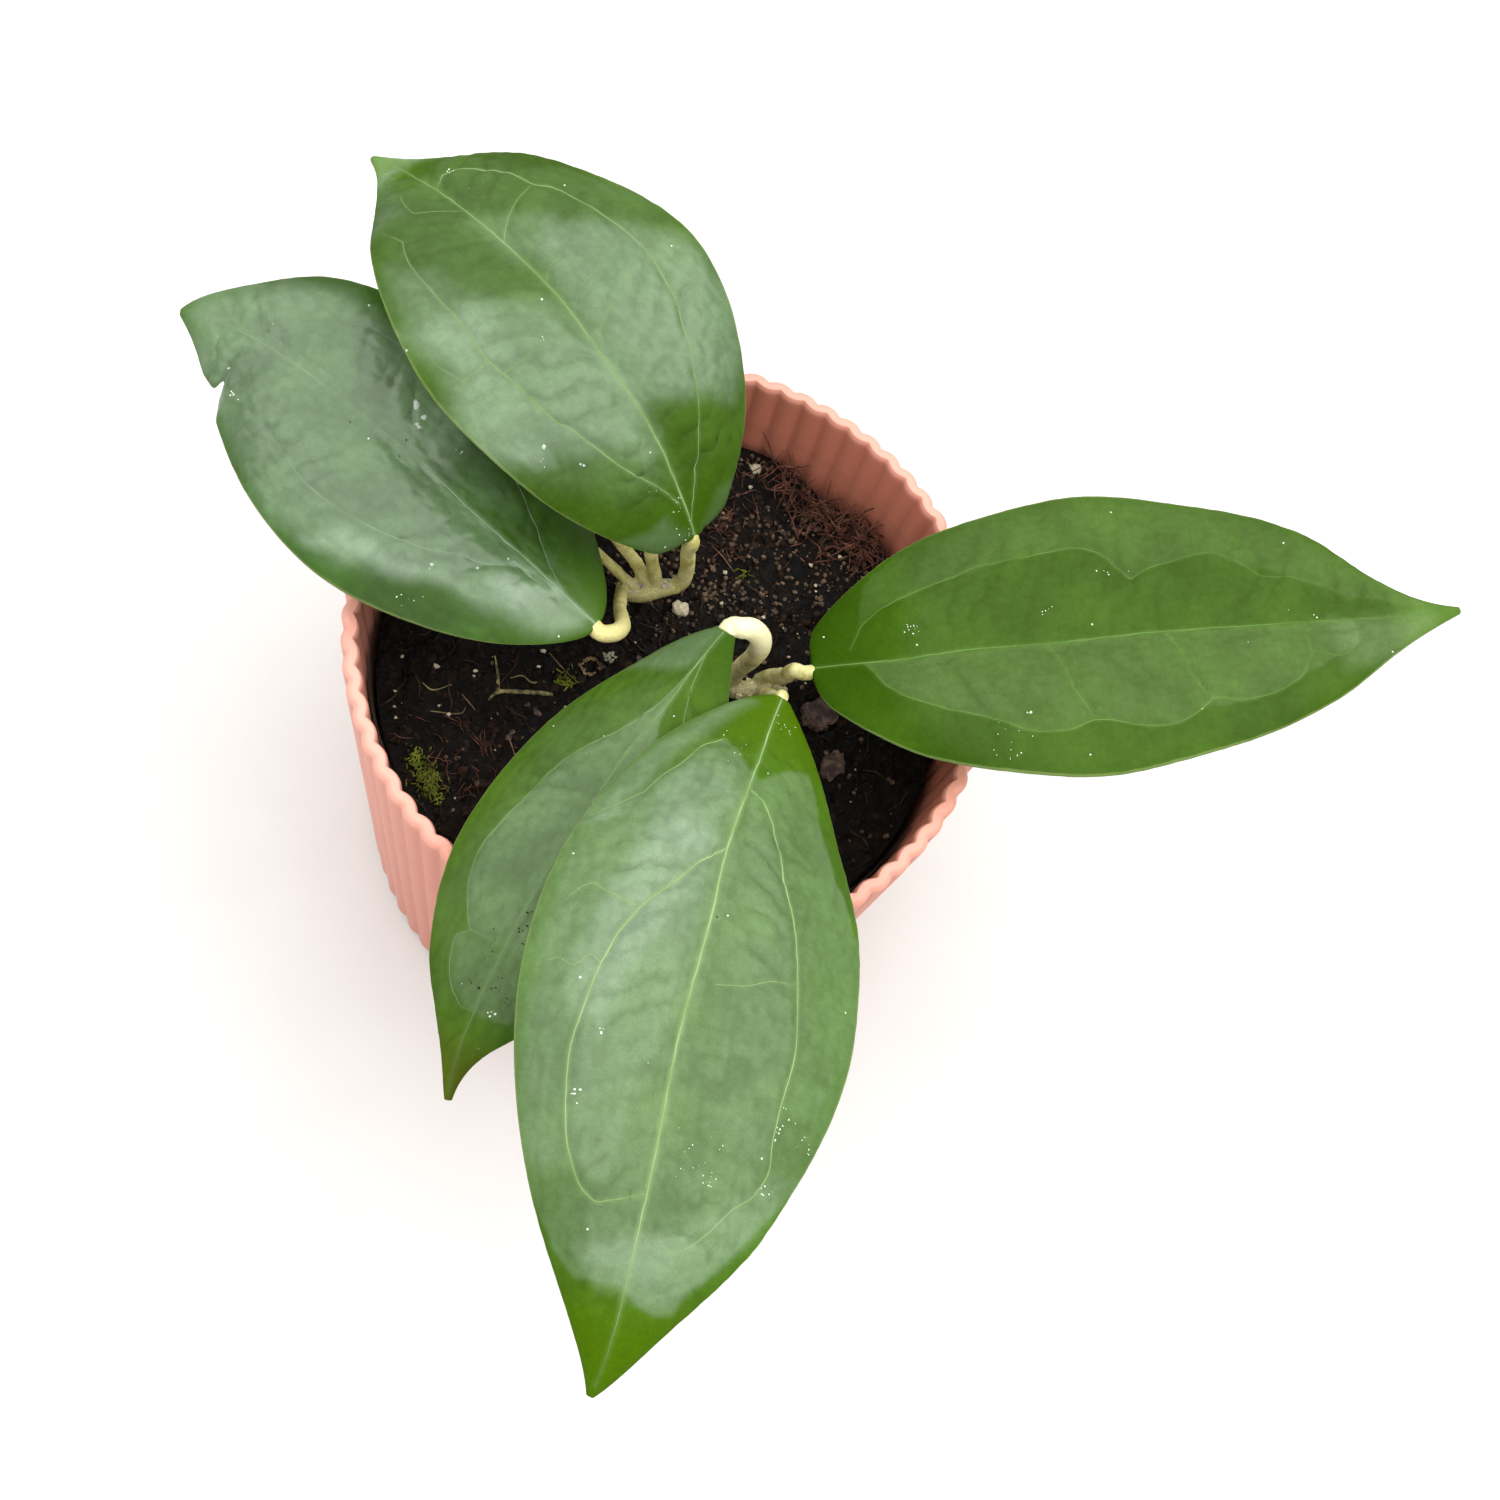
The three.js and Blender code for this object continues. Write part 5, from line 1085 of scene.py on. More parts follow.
SOIL_RINGS, SOIL_SIDES = 130, 420
out, angle = np.meshgrid(np.linspace(0.4, SOIL_EDGE, SOIL_RINGS),
                         2 * np.pi * np.arange(SOIL_SIDES) / SOIL_SIDES, indexing="ij")
soil_x, soil_y = out * np.cos(angle), out * np.sin(angle)
soil_spots = list(zip(soil_x.ravel(), soil_y.ravel()))
crumb = np.array([noise.fractal(Vector((px, py, 0)) / 2.2, 0.9, 2.1, 4) for px, py in soil_spots])
clod = np.array([abs(noise.noise(Vector((px, py, 7)) / 1.9)) for px, py in soil_spots]).reshape(out.shape)
pit = np.array([noise.noise(Vector((px, py, 3)) / 4.5) for px, py in soil_spots]).reshape(out.shape)
crumb = 0.5 * crumb.reshape(out.shape) + 1.3 * clod - 0.35 + 0.6 * pit
crumb = crumb * (1 - smoothstep(out, SOIL_EDGE - 1.5, SOIL_EDGE))
top = np.stack([soil_x, soil_y, soil_height(soil_x, soil_y) + crumb], -1)
wall = [top[-1] * [s, s, 0] + [0, 0, z] for s, z in ((1, 60), (50.6 / SOIL_EDGE, 5.6))]
points = np.concatenate([top.reshape(-1, 3)] + wall)
raised = np.concatenate([np.clip(0.5 + 0.8 * crumb, 0, 1).ravel(), np.zeros(2 * SOIL_SIDES)])
soil = turn_out(piece("soil_surface", points, ring_faces(SOIL_RINGS + 2, SOIL_SIDES), peat,
                      {"raised": raised}))
finish_piece(soil, "soil", "soil")

# %% [markdown]
# The vines: a crusted node on the soil with stems and petioles that bend up out of it. Each stretch is
# a tube along a listed route. Geometry Nodes then turn all tubes of a vine into one grown-together
# skin, by way of a volume, and roughen it into mealy bark.

# %% Routes of the vines
PETIOLE_GAP, PETIOLE_END = 0.4, 1.3


def foot_of(name):
    """The last two points of a petiole, square against the foot of its blade."""
    leaf = LEAVES[name]
    along, _, up = leaf_axes(leaf, np.array([0.0]))
    base = np.array(leaf["base"], float)
    return [base - along[0] * step - up[0] * 0.3 * MIDRIB_THICKNESS
            for step in (PETIOLE_GAP + PETIOLE_END, -0.5)]


VINES = {
    "vine_left": [
        ([(-13.7, 13.9, 75), (-8.9, 14.9, 75), (-5.1, 17.2, 75.3), (-1.9, 18.4, 76)], [1.8, 2.2, 2.1, 1.6],
         []),
        ([(-7.6, 16, 66), (-7.6, 16, 70), (-7.6, 16, 75)], [1.6, 2, 2], []),
        ([(-6.5, 17.2, 75.3), (-7.4, 17.6, 80), (-8.4, 17.3, 85), (-9.6, 16.4, 93), (-10.4, 15.6, 98)],
         [1.8, 1.5, 1.45, 1.4, 1.1], [0.2, 0.55]),
        ([(-7.9, 16.4, 75.3), (-10.7, 17.8, 80), (-13.7, 17.7, 85), (-16.9, 17, 91), (-18.8, 16.4, 94.4)],
         [1.7, 1.45, 1.4, 1.3, 1], [0.3, 0.6]),
        ([(-9.5, 15, 75.3), (-12.7, 15.5, 78), (-15.6, 15.2, 82), (-19, 14.7, 86.6), (-21.6, 14.2, 89.8)],
         [1.6, 1.25, 1.2, 1.15, 0.9], [0.35]),
        ([(-3.4, 17.8, 75.4), (-1.8, 18.9, 77), (-1.5, 19.5, 80.5), (-1.9, 18.9, 86.5), (-2.3, 17.3, 93.5),
          *foot_of("leaf_top")], [1.7, 1.8, 1.7, 1.65, 1.6, 1.5, 1.5], [0.46]),
        ([(-12.5, 14, 75.4), (-12, 10.2, 79), (-11.3, 5.2, 85), (-10.3, 1.4, 89.6), (-9.7, -2.2, 93.3),
          (-10.6, -4.6, 95.3), *foot_of("leaf_left")], [1.5, 1.45, 1.45, 1.55, 1.8, 1.9, 1.8, 1.8], [0.2]),
    ],
    "vine_right": [
        ([(13, 0.6, 75), (16.1, 1.4, 75.2), (19.8, 2.5, 75.4), (24.1, 3, 74.7)], [1.7, 2.2, 2.4, 1.7], []),
        ([(18, 2.2, 66), (18, 2.2, 70), (18, 2.2, 75)], [1.7, 2.1, 2.1], []),
        ([(17.9, 3.8, 75.6), (19.8, 3.8, 79.4), (22.2, 2.2, 85.2), (23.2, 0.6, 91.8),
          *foot_of("leaf_right")],
         [1.8, 1.8, 1.75, 1.7, 1.6, 1.6], [0.4]),
        ([(12.7, 2, 75.6), (13.5, 2.6, 81), (14.9, 2, 88), (15.6, 1.4, 95), (14.8, 1, 100), (12.9, 0.5, 103),
          (11, -0.4, 104), *foot_of("leaf_front_left")], [1.9, 1.95, 2.05, 2.2, 2.3, 2.3, 2.2, 1.9, 1.9],
         []),
        ([(19.3, 1.8, 75.8), (20.5, -2.4, 84), (21.2, -6.4, 92), (21.4, -9, 98.4), *foot_of("leaf_front")],
         [1.8, 1.8, 1.8, 1.7, 1.4, 1.3], [0.3]),
    ],
}


def spline(points, radii, count):
    """A smooth route through the points, with the radius at each step, at even spacing."""
    points = np.array([tuple(p) for p in points], float)
    knots = np.concatenate([[0], np.cumsum(np.linalg.norm(np.diff(points, axis=0), axis=1) ** 0.5)])
    ends = np.vstack([2 * points[0] - points[1], points, 2 * points[-1] - points[-2]])
    outer = np.concatenate([[knots[0] - knots[1]], knots, [2 * knots[-1] - knots[-2]]])
    place = np.linspace(0, knots[-1], 40 * count)
    k = np.clip(np.searchsorted(knots, place, side="right") - 1, 0, len(points) - 2)
    t0, t1, t2, t3 = outer[k], outer[k + 1], outer[k + 2], outer[k + 3]
    p0, p1, p2, p3 = ends[k], ends[k + 1], ends[k + 2], ends[k + 3]
    blend = lambda a, b, ta, tb: (a * (tb - place)[:, None] + b * (place - ta)[:, None]) / (tb - ta)[:, None]
    a1, a2, a3 = blend(p0, p1, t0, t1), blend(p1, p2, t1, t2), blend(p2, p3, t2, t3)
    b1, b2 = blend(a1, a2, t0, t2), blend(a2, a3, t1, t3)
    line = blend(b1, b2, t1, t2)
    width = np.interp(place, knots, radii)
    reach = np.concatenate([[0], np.cumsum(np.linalg.norm(np.diff(line, axis=0), axis=1))])
    even = np.linspace(0, reach[-1], count)
    pick = lambda a: np.interp(even, reach, a)
    return np.stack([pick(line[:, i]) for i in range(3)], -1), pick(width), even


def tube(line, width, sides):
    """Rings of a tube along a line, turned as little as they can be."""
    along = np.gradient(line, axis=0)
    along /= np.linalg.norm(along, axis=1, keepdims=True)
    first = np.cross(along[0], [1.0, 0.2, 0.1])
    rings = []
    for centre, direction, radius in zip(line, along, width):
        first = first - direction * first.dot(direction)
        first /= np.linalg.norm(first)
        second = np.cross(direction, first)
        angle = 2 * np.pi * np.arange(sides) / sides
        rings.append(centre + radius * (np.outer(np.cos(angle), first) + np.outer(np.sin(angle), second)))
    return np.concatenate(rings)


TUBE_STEPS, TUBE_SIDES = 60, 16


def vine_tubes(stretches):
    """Points and faces of tubes, each from its route, radii and the shares at which leaf scars ring it."""
    points, faces = [], []
    for route, radii, scars in stretches:
        line, width, walked = spline(route, radii, TUBE_STEPS)
        for scar in scars:
            width = width + 0.14 * np.exp(-((walked - scar * walked[-1]) / 0.45) ** 2)
        faces += ring_faces(TUBE_STEPS, TUBE_SIDES, first=TUBE_STEPS * TUBE_SIDES * len(points))
        points.append(tube(line, width, TUBE_SIDES))
    return np.concatenate(points), faces


# %% [markdown]
# Young hoya bark is cream to olive, dull and mealy, with darker pores, and earth sticks to it just above
# the soil. Where light falls on the top of a hooked petiole, it is painted paler: a painted highlight.

# %% Vine material
def vine_material(name, olive, cream, clear, lit_spot, reach):
    """Mealy bark. lit_spot is the middle of the stretch where light falls on it, painted in the tone clear
    as a painted highlight, and reach its size, in metres.
    """
    made, tree, shader, place = new_material(name)
    blotch = add(tree, "ShaderNodeTexNoise", {}, {"Vector": place, "Scale": 330, "Detail": 4}).outputs[0]
    away = add(tree, "ShaderNodeVectorMath", {"operation": "DISTANCE"},
               {0: place, 1: lit_spot}).outputs["Value"]
    high = add(tree, "ShaderNodeSeparateXYZ", {}, {0: place}).outputs["Z"]
    meal, pores = [add(tree, "ShaderNodeTexVoronoi", {},
                       {"Vector": place, "Scale": scale}).outputs["Distance"]
                   for scale in (2600, 700)]
    pale, painted_light_share, near_soil, patchy, mealy, pored = [
        add(tree, "ShaderNodeMapRange", {}, {"Value": value, "From Min": low, "From Max": top,
                                             "To Min": start, "To Max": end}).outputs[0]
        for value, low, top, start, end in (
            (blotch, 0.36, 0.62, 0, 1), (away, 0.6 * reach, reach, 0.9, 0), (high, 0.075, 0.082, 0.8, 0),
            (blotch, 0.35, 0.6, 0.5, 1), (meal, 0.1, 0.5, 0.4, 0), (pores, 0.08, 0.17, 0.6, 0))]
    earthy = add(tree, "ShaderNodeMath", {"operation": "MULTIPLY"}, {0: near_soil, 1: patchy}).outputs[0]
    skin = colour(olive)
    # Round the lit spot the bark is painted paler: a painted highlight.
    for factor, paint in ((pale, cream), (painted_light_share, clear), (earthy, "#5c5232"), (mealy, "#e0dabc"),
                          (pored, "#5a5430")):
        skin = add(tree, "ShaderNodeMix", {"data_type": "RGBA"},
                   {0: factor, 6: skin, 7: colour(paint)}).outputs[2]
    tree.links.new(skin, shader.inputs["Base Color"])
    shader.inputs["Roughness"].default_value = 0.6
    bump = add(tree, "ShaderNodeBump", {}, {"Strength": 0.4, "Distance": 0.00015, "Height": meal})
    tree.links.new(bump.outputs[0], shader.inputs["Normal"])
    return made


# The third colour of each vine and its spot paint light onto the top of a hooked petiole: a painted
# highlight.
VINE_FINISH = {
    "vine_left": vine_material("mealy_young_bark_left", "#a9a350", "#d2cb88", "#b9b06e",
                               (-0.010, -0.003, 0.094), 0.008),
    "vine_right": vine_material("mealy_young_bark_right", "#9a9650", "#cfc98e", "#ded7aa",
                                (0.0132, 0.001, 0.102), 0.009)}
print("vine finishes:", list(VINE_FINISH))

# %% [markdown]
# Tubes that only cross look like a model of pipes. Turning a whole vine into a volume and back into a
# mesh melts its tubes into one skin with soft forks, and noise along the normals then roughens it.

# %% Vine skin by Geometry Nodes
grown = node_tree("grow_together")
socket(grown, "Voxel", "NodeSocketFloat", 0.0003)
socket(grown, "Roughness Height", "NodeSocketFloat", 0.0002)
socket(grown, "Roughness Scale", "NodeSocketFloat", 900.0)
given = add(grown, "NodeGroupInput")
volume = add(grown, "GeometryNodeMeshToVolume", {"resolution_mode": "VOXEL_SIZE"},
             {"Mesh": given.outputs[0], "Density": 1.0, "Voxel Size": given.outputs["Voxel"],
              "Interior Band Width": 0.002})
skin = add(grown, "GeometryNodeVolumeToMesh", {"resolution_mode": "GRID"},
           {"Volume": volume.outputs[0], "Threshold": 0.1})
spot = add(grown, "GeometryNodeInputPosition").outputs[0]
rough = add(grown, "ShaderNodeTexNoise", {}, {"Vector": spot, "Scale": given.outputs["Roughness Scale"],
                                              "Detail": 3}).outputs[0]
lift = add(grown, "ShaderNodeMath", {"operation": "SUBTRACT"}, {0: rough, 1: 0.5}).outputs[0]
lift = add(grown, "ShaderNodeMath", {"operation": "MULTIPLY"},
           {0: lift, 1: given.outputs["Roughness Height"]})
normal = add(grown, "GeometryNodeInputNormal").outputs[0]
offset = add(grown, "ShaderNodeVectorMath", {"operation": "SCALE"},
             {0: normal, "Scale": lift.outputs[0]}).outputs[0]
moved = add(grown, "GeometryNodeSetPosition", {}, {"Geometry": skin.outputs[0], "Offset": offset})
whole = add(grown, "GeometryNodeRealizeInstances", {}, {0: moved.outputs[0]})
soft = add(grown, "GeometryNodeSetShadeSmooth", {}, {"Geometry": whole.outputs[0]})
finished = add(grown, "GeometryNodeSetMaterial", {},
               {"Geometry": soft.outputs[0], "Material": VINE_FINISH["vine_left"]})
add(grown, "NodeGroupOutput", {}, {0: finished.outputs[0]})

for name, stretches in VINES.items():
    points, faces = vine_tubes(stretches)
    vine = turn_out(piece(name + "_skin", points, faces, VINE_FINISH[name]))
    apply_tree(vine, grown, {"Voxel": 0.0003, "Roughness Height": 0.00022, "Roughness Scale": 700.0},
               VINE_FINISH[name])
    finish_piece(vine, "vine", name)

# %% [markdown]
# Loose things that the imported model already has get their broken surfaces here: two flakes of bark, two
# lumps of perlite and a dry forked root. Each repeats the plain form and adds finer breaks to it.

# %% Bark, perlite and root finishes
# Weathered pine bark: brown-purple layers, dull, with paler dusty edges
pine_bark, tree, shader, place = new_material("weathered_pine_bark")
layer = add(tree, "ShaderNodeTexWave", {"bands_direction": "Z"},
            {"Vector": place, "Scale": 380, "Distortion": 6, "Detail": 3}).outputs["Fac"]
dust = add(tree, "ShaderNodeTexNoise", {}, {"Vector": place, "Scale": 500, "Detail": 5}).outputs[0]
bands = add(tree, "ShaderNodeMix", {"data_type": "RGBA"},
            {0: layer, 6: colour("#241815"), 7: colour("#4a382f")})
dusty = add(tree, "ShaderNodeMapRange", {}, {"Value": dust, "From Min": 0.5, "From Max": 0.72}).outputs[0]
flaked = add(tree, "ShaderNodeMix", {"data_type": "RGBA"},
             {0: dusty, 6: bands.outputs[2], 7: colour("#725a4b")})
tree.links.new(flaked.outputs[2], shader.inputs["Base Color"])
shader.inputs["Roughness"].default_value = 0.85
bump = add(tree, "ShaderNodeBump", {}, {"Strength": 0.6, "Distance": 0.0003, "Height": dust})
tree.links.new(bump.outputs[0], shader.inputs["Normal"])

# Expanded perlite: white volcanic glass, full of pores, so it scatters light and has no gloss
perlite, tree, shader, place = new_material("expanded_perlite")
pores = add(tree, "ShaderNodeTexVoronoi", {}, {"Vector": place, "Scale": 2600}).outputs["Distance"]
stained = add(tree, "ShaderNodeMix", {"data_type": "RGBA"},
              {0: pores, 6: colour("#bdb49c"), 7: colour("#94886e")}).outputs[2]
tree.links.new(stained, shader.inputs["Base Color"])
shader.inputs["Roughness"].default_value = 0.95
bump = add(tree, "ShaderNodeBump", {}, {"Strength": 0.7, "Distance": 0.0001, "Height": pores})
tree.links.new(bump.outputs[0], shader.inputs["Normal"])

# Dry root: olive-yellow, fibrous along its length, with darker flecks of soil
root_skin, tree, shader, place = new_material("dry_root_skin")
fleck = add(tree, "ShaderNodeTexNoise", {}, {"Vector": place, "Scale": 900, "Detail": 4}).outputs[0]
fleck = add(tree, "ShaderNodeMapRange", {}, {"Value": fleck, "From Min": 0.4, "From Max": 0.65}).outputs[0]
dry_tint = add(tree, "ShaderNodeMix", {"data_type": "RGBA"},
               {0: fleck, 6: colour("#3a351a"), 7: colour("#827a4a")}).outputs[2]
tree.links.new(dry_tint, shader.inputs["Base Color"])
shader.inputs["Roughness"].default_value = 0.8
bump = add(tree, "ShaderNodeBump", {}, {"Strength": 0.5, "Distance": 0.0002, "Height": fleck})
tree.links.new(bump.outputs[0], shader.inputs["Normal"])


def roughened(made, height, pitch, seed, levels=2):
    """Subdivides a closed piece and pushes its points in and out by noise, in millimetres."""
    shell = bmesh.new()
    shell.from_mesh(made.data)
    for _ in range(levels):
        bmesh.ops.subdivide_edges(shell, edges=shell.edges, cuts=1, use_grid_fill=True, smooth=0.3)
    shell.normal_update()
    for vertex in shell.verts:
        spot = vertex.co / (pitch * MM) + Vector((seed, seed, seed))
        vertex.co += vertex.normal * noise.fractal(spot, 1.0, 2.0, 3) * height * MM
    shell.to_mesh(made.data)
    shell.free()
    made.data.shade_smooth()
    return made


# %% [markdown]
# Broken things need sharp, uneven faces. Each is a simple closed form whose points are pushed by noise,
# which is quicker than sculpting and gives the same result on each run.

# %% Bark chips, perlite lumps and dry root
FLAKE_SIDES = 28


def bark_chip(name, x, y, turn, size, tilt):
    """A seven-sided flake with ragged edges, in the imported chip's place."""
    length, width, thickness = size
    lean = (Matrix.Rotation(math.radians(tilt), 3, "X") @ Matrix.Rotation(math.radians(tilt / 2), 3, "Y")
            @ Matrix.Rotation(math.radians(turn), 3, "Z"))
    seat = Vector((x, y, float(soil_height(x, y)) + 0.15 * thickness))
    rings = []
    for share, z in ((0.85, -0.5), (0.97, -0.2), (1, 0.1), (0.95, 0.34), (0.78, 0.5)):
        for j in range(FLAKE_SIDES):
            angle = 2 * math.pi * j / FLAKE_SIDES
            ragged = share * (1 + 0.12 * math.sin(5 * j / 4 + turn) + 0.03 * math.sin(11 * angle + turn))
            corner = Vector((length / 2 * ragged * math.cos(angle), width / 2 * ragged * math.sin(angle),
                             z * thickness))
            rings.append(tuple(lean @ corner + seat))
    return turn_out(piece(name + "_flake", rings, ring_faces(5, FLAKE_SIDES), pine_bark))


def perlite_lump(name, x, y, size, seed):
    """A dented lump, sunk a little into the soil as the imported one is."""
    ball = bmesh.new()
    bmesh.ops.create_icosphere(ball, subdivisions=4, radius=1)
    seat = float(soil_height(x, y)) + 0.2 * size[2]
    points = []
    for vertex in ball.verts:
        dent = (1 + 0.07 * math.sin(7 * vertex.co.x + 5 * vertex.co.y + 3 * vertex.co.z)) / 2
        dent += 0.11 * noise.fractal(vertex.co * 1.3 + Vector((seed, 0, 0)), 1.0, 2.0, 2)
        points.append((x + vertex.co.x * size[0] * dent, y + vertex.co.y * size[1] * dent,
                       seat + vertex.co.z * size[2] * dent))
    faces = [[v.index for v in face.verts] for face in ball.faces]
    ball.free()
    return turn_out(piece(name + "_grain", points, faces, perlite))


def on_soil(route, lift):
    """A route of (x, y) laid on the soil, raised by lift."""
    return [(x, y, float(soil_height(x, y)) + lift) for x, y in route]


for name, x, y, turn, size, tilt in (("bark_chip_back", 31.2, 2.1, 40, (7.4, 6, 2.6), 8),
                                     ("bark_chip_front", 36.2, -7.8, 75, (6.2, 4.2, 2.4), -6)):
    chip = roughened(bark_chip(name, x, y, turn, size, tilt), 0.42, 1.1, turn, 2)
    chip.data.shade_flat()
    finish_piece(chip, "bark", name)
for name, x, y, size, seed in (("perlite_lump", -0.5, 15.1, (3.5, 3, 2.4), 3),
                               ("perlite_lump_back", 5.6, 50.2, (2.4, 2.2, 1.8), 8)):
    finish_piece(perlite_lump(name, x, y, size, seed), "perlite", name)

points, faces = vine_tubes([
    (on_soil([(-30.3, -14.8), (-29, -12.8), (-25, -11.5), (-20.4, -10.4), (-18.9, -10.3)], 0.35),
     [0.25, 0.5, 0.45, 0.5, 0.45], []),
    (on_soil([(-31.7, -6.1), (-30.1, -9.4), (-29, -12.6)], 0.35), [0.2, 0.32, 0.45], [])])
forked = turn_out(piece("dry_root_forked", points, faces, root_skin))
apply_tree(forked, grown, {"Voxel": 0.00018, "Roughness Height": 0.0002, "Roughness Scale": 600.0},
           root_skin)
finish_piece(forked, "root", "dry_root")

# %% [markdown]
# Loose litter. Peat is mostly crumbs, with threads of root and coir, chips of bark and grains of perlite.
# Geometry Nodes lay each kind out over the soil: points on its top, a small template on each point with
# its own turn and size, and everything made real at the end so that it stays in the exported model.

# %% Scatter by Geometry Nodes
scatter = node_tree("scatter_litter")
for label, kind, value in (("Template", "NodeSocketObject", None), ("Density", "NodeSocketFloat", 1.0),
                           ("Seed", "NodeSocketInt", 1), ("Smallest", "NodeSocketFloat", 0.5),
                           ("Largest", "NodeSocketFloat", 1.0), ("Tilt", "NodeSocketFloat", 0.4),
                           ("Lift", "NodeSocketFloat", 0.0), ("Finish", "NodeSocketMaterial", None)):
    socket(scatter, label, kind, value)
given = add(scatter, "NodeGroupInput")
where = add(scatter, "GeometryNodeInputNamedAttribute", {"data_type": "FLOAT"}, {"Name": "where"}).outputs[0]
spread = add(scatter, "ShaderNodeMath", {"operation": "MULTIPLY"}, {0: where, 1: given.outputs["Density"]})
points_on = add(scatter, "GeometryNodeDistributePointsOnFaces", {},
                {"Mesh": given.outputs[0], "Density": spread.outputs[0], "Seed": given.outputs["Seed"]})
tilt_low = add(scatter, "ShaderNodeMath", {"operation": "MULTIPLY"},
               {0: given.outputs["Tilt"], 1: -1.0}).outputs[0]
low = add(scatter, "ShaderNodeCombineXYZ", {}, {0: tilt_low, 1: tilt_low, 2: 0.0}).outputs[0]
high = add(scatter, "ShaderNodeCombineXYZ", {},
           {0: given.outputs["Tilt"], 1: given.outputs["Tilt"], 2: 2 * math.pi})
turns = add(scatter, "FunctionNodeRandomValue", {"data_type": "FLOAT_VECTOR"},
            {0: low, 1: high.outputs[0], "Seed": given.outputs["Seed"]}).outputs[0]
sizes = add(scatter, "FunctionNodeRandomValue", {"data_type": "FLOAT"},
            {2: given.outputs["Smallest"], 3: given.outputs["Largest"],
             "Seed": given.outputs["Seed"]}).outputs[1]
rise = add(scatter, "ShaderNodeCombineXYZ", {}, {2: given.outputs["Lift"]}).outputs[0]
raised = add(scatter, "GeometryNodeSetPosition", {}, {"Geometry": points_on.outputs[0], "Offset": rise})
shape = add(scatter, "GeometryNodeObjectInfo", {}, {"Object": given.outputs["Template"]}).outputs["Geometry"]
laid = add(scatter, "GeometryNodeInstanceOnPoints", {},
           {"Points": raised.outputs[0], "Instance": shape, "Rotation": turns, "Scale": sizes})
whole = add(scatter, "GeometryNodeRealizeInstances", {}, {0: laid.outputs[0]})
finished = add(scatter, "GeometryNodeSetMaterial", {}, {"Geometry": whole.outputs[0],
                                                        "Material": given.outputs["Finish"]})
add(scatter, "NodeGroupOutput", {}, {0: finished.outputs[0]})

print("scatter_litter has", len(scatter.nodes), "nodes")

# %% [markdown]
# A scattered kind needs one small template: a dented grain or a bent thread. The turn, the size and the
# crowd hide that all of a kind are alike.

# %% Templates of litter
def lump(name, seed, size, subdivisions=2):
    """A dented grain about one millimetre across."""
    ball = bmesh.new()
    bmesh.ops.create_icosphere(ball, subdivisions=subdivisions, radius=0.5)
    for vertex in ball.verts:
        vertex.co *= 1 + 0.45 * noise.noise(vertex.co * 3 + Vector((seed, seed, 0)))
        vertex.co = Vector(vertex.co[k] * size[k] for k in range(3))
    points = [tuple(v.co) for v in ball.verts]
    faces = [[v.index for v in face.verts] for face in ball.faces]
    ball.free()
    return turn_out(piece(name, points, faces, peat, smooth=False))


def thread(name, seed, length, radius, bend=0.45):
    """A bent fibre, thinner at both ends."""
    dice = np.random.default_rng(seed)
    route = np.cumsum(np.vstack([[0, 0, 0], dice.normal(0, bend, (5, 3)) * [1, 1, 0.35] + [1, 0, 0]]),
                      axis=0)
    route = (route - route.mean(0)) * length / 5
    line, width, _ = spline(route, [0.3 * radius, radius, radius, radius, 0.8 * radius, 0.3 * radius], 9)
    return turn_out(piece(name, tube(line, width, 5), ring_faces(9, 5), peat))


def litter(name, template, finish, slot, where, **values):
    """Scatters one template over the soil's top, where the given weights say."""
    bed = piece(name, top.reshape(-1, 3), ring_faces(SOIL_RINGS, SOIL_SIDES, close_ends=False), peat,
                {"where": where.ravel()})
    numbers = {key.replace("_", " "): value for key, value in values.items()}
    apply_tree(bed, scatter, {"Template": template, "Finish": finish, **numbers}, finish)
    bpy.data.objects.remove(template)
    if slot:
        finish_piece(bed, slot)
    return bed


# Finishes of the litter. Coir and dead roots are dry and dull, reddish-brown to tan.
coir = plain_finish("coir_fibre", "#24140e", "#6c4638", 0.8, 0.8)
dead_root = plain_finish("dead_root_fibre", "#130d09", "#443527", 0.8, 1)
pale_root = plain_finish("pale_living_root", "#4e472e", "#857c56", 0.7, 1)
tan_fibre = plain_finish("bleached_fibre", "#584230", "#8a6e52", 0.8, 1)
moss_green = plain_finish("cushion_moss", "#2c360c", "#747c2c", 0.8, 1.5)
crust = plain_finish("dried_crust", "#7d7450", "#bdb48c", 0.9, 1.5)
earth_crust = plain_finish("earthy_crust", "#3b3022", "#7d6c4c", 0.9, 1.5)
grey_crust = plain_finish("lime_crust", "#6f6a5a", "#aaa592", 0.9, 1.5)
crumb_finish = plain_finish("peat_crumb", "#050403", "#291d15", 0.85, 0.5)
dry_crumb = plain_finish("dried_peat_crumb", "#211812", "#6b5848", 0.9, 0.5)

everywhere = 1.0 * (out < SOIL_EDGE - 1.2)
clumps = np.array([noise.noise(Vector((px / 7, py / 7, 0.3))) for px, py in soil_spots])
clumps = np.clip(0.6 + 1.1 * clumps.reshape(out.shape), 0.05, 1.6) * everywhere
drier = clumps * (0.02 + 3.4 * smoothstep(soil_y, 2, 24)
                  + 0.5 * np.exp(-((soil_x + 20) ** 2 + (soil_y + 28) ** 2) / 90)
                  + 0.9 * np.exp(-((soil_x - 36) ** 2 + (soil_y + 10) ** 2) / 260))
litter("peat_crumbs_fine", lump("grain_a", 1, (1, 0.9, 0.8), 1), crumb_finish, "soil", everywhere,
       Density=340000.0, Seed=4, Smallest=0.4, Largest=1.2, Tilt=1.5)
litter("peat_crumbs_coarse", lump("grain_b", 5, (1.2, 1, 0.7), 1), crumb_finish, "soil", clumps,
       Density=95000.0, Seed=9, Smallest=0.8, Largest=2.6, Tilt=1.2, Lift=-0.0001)
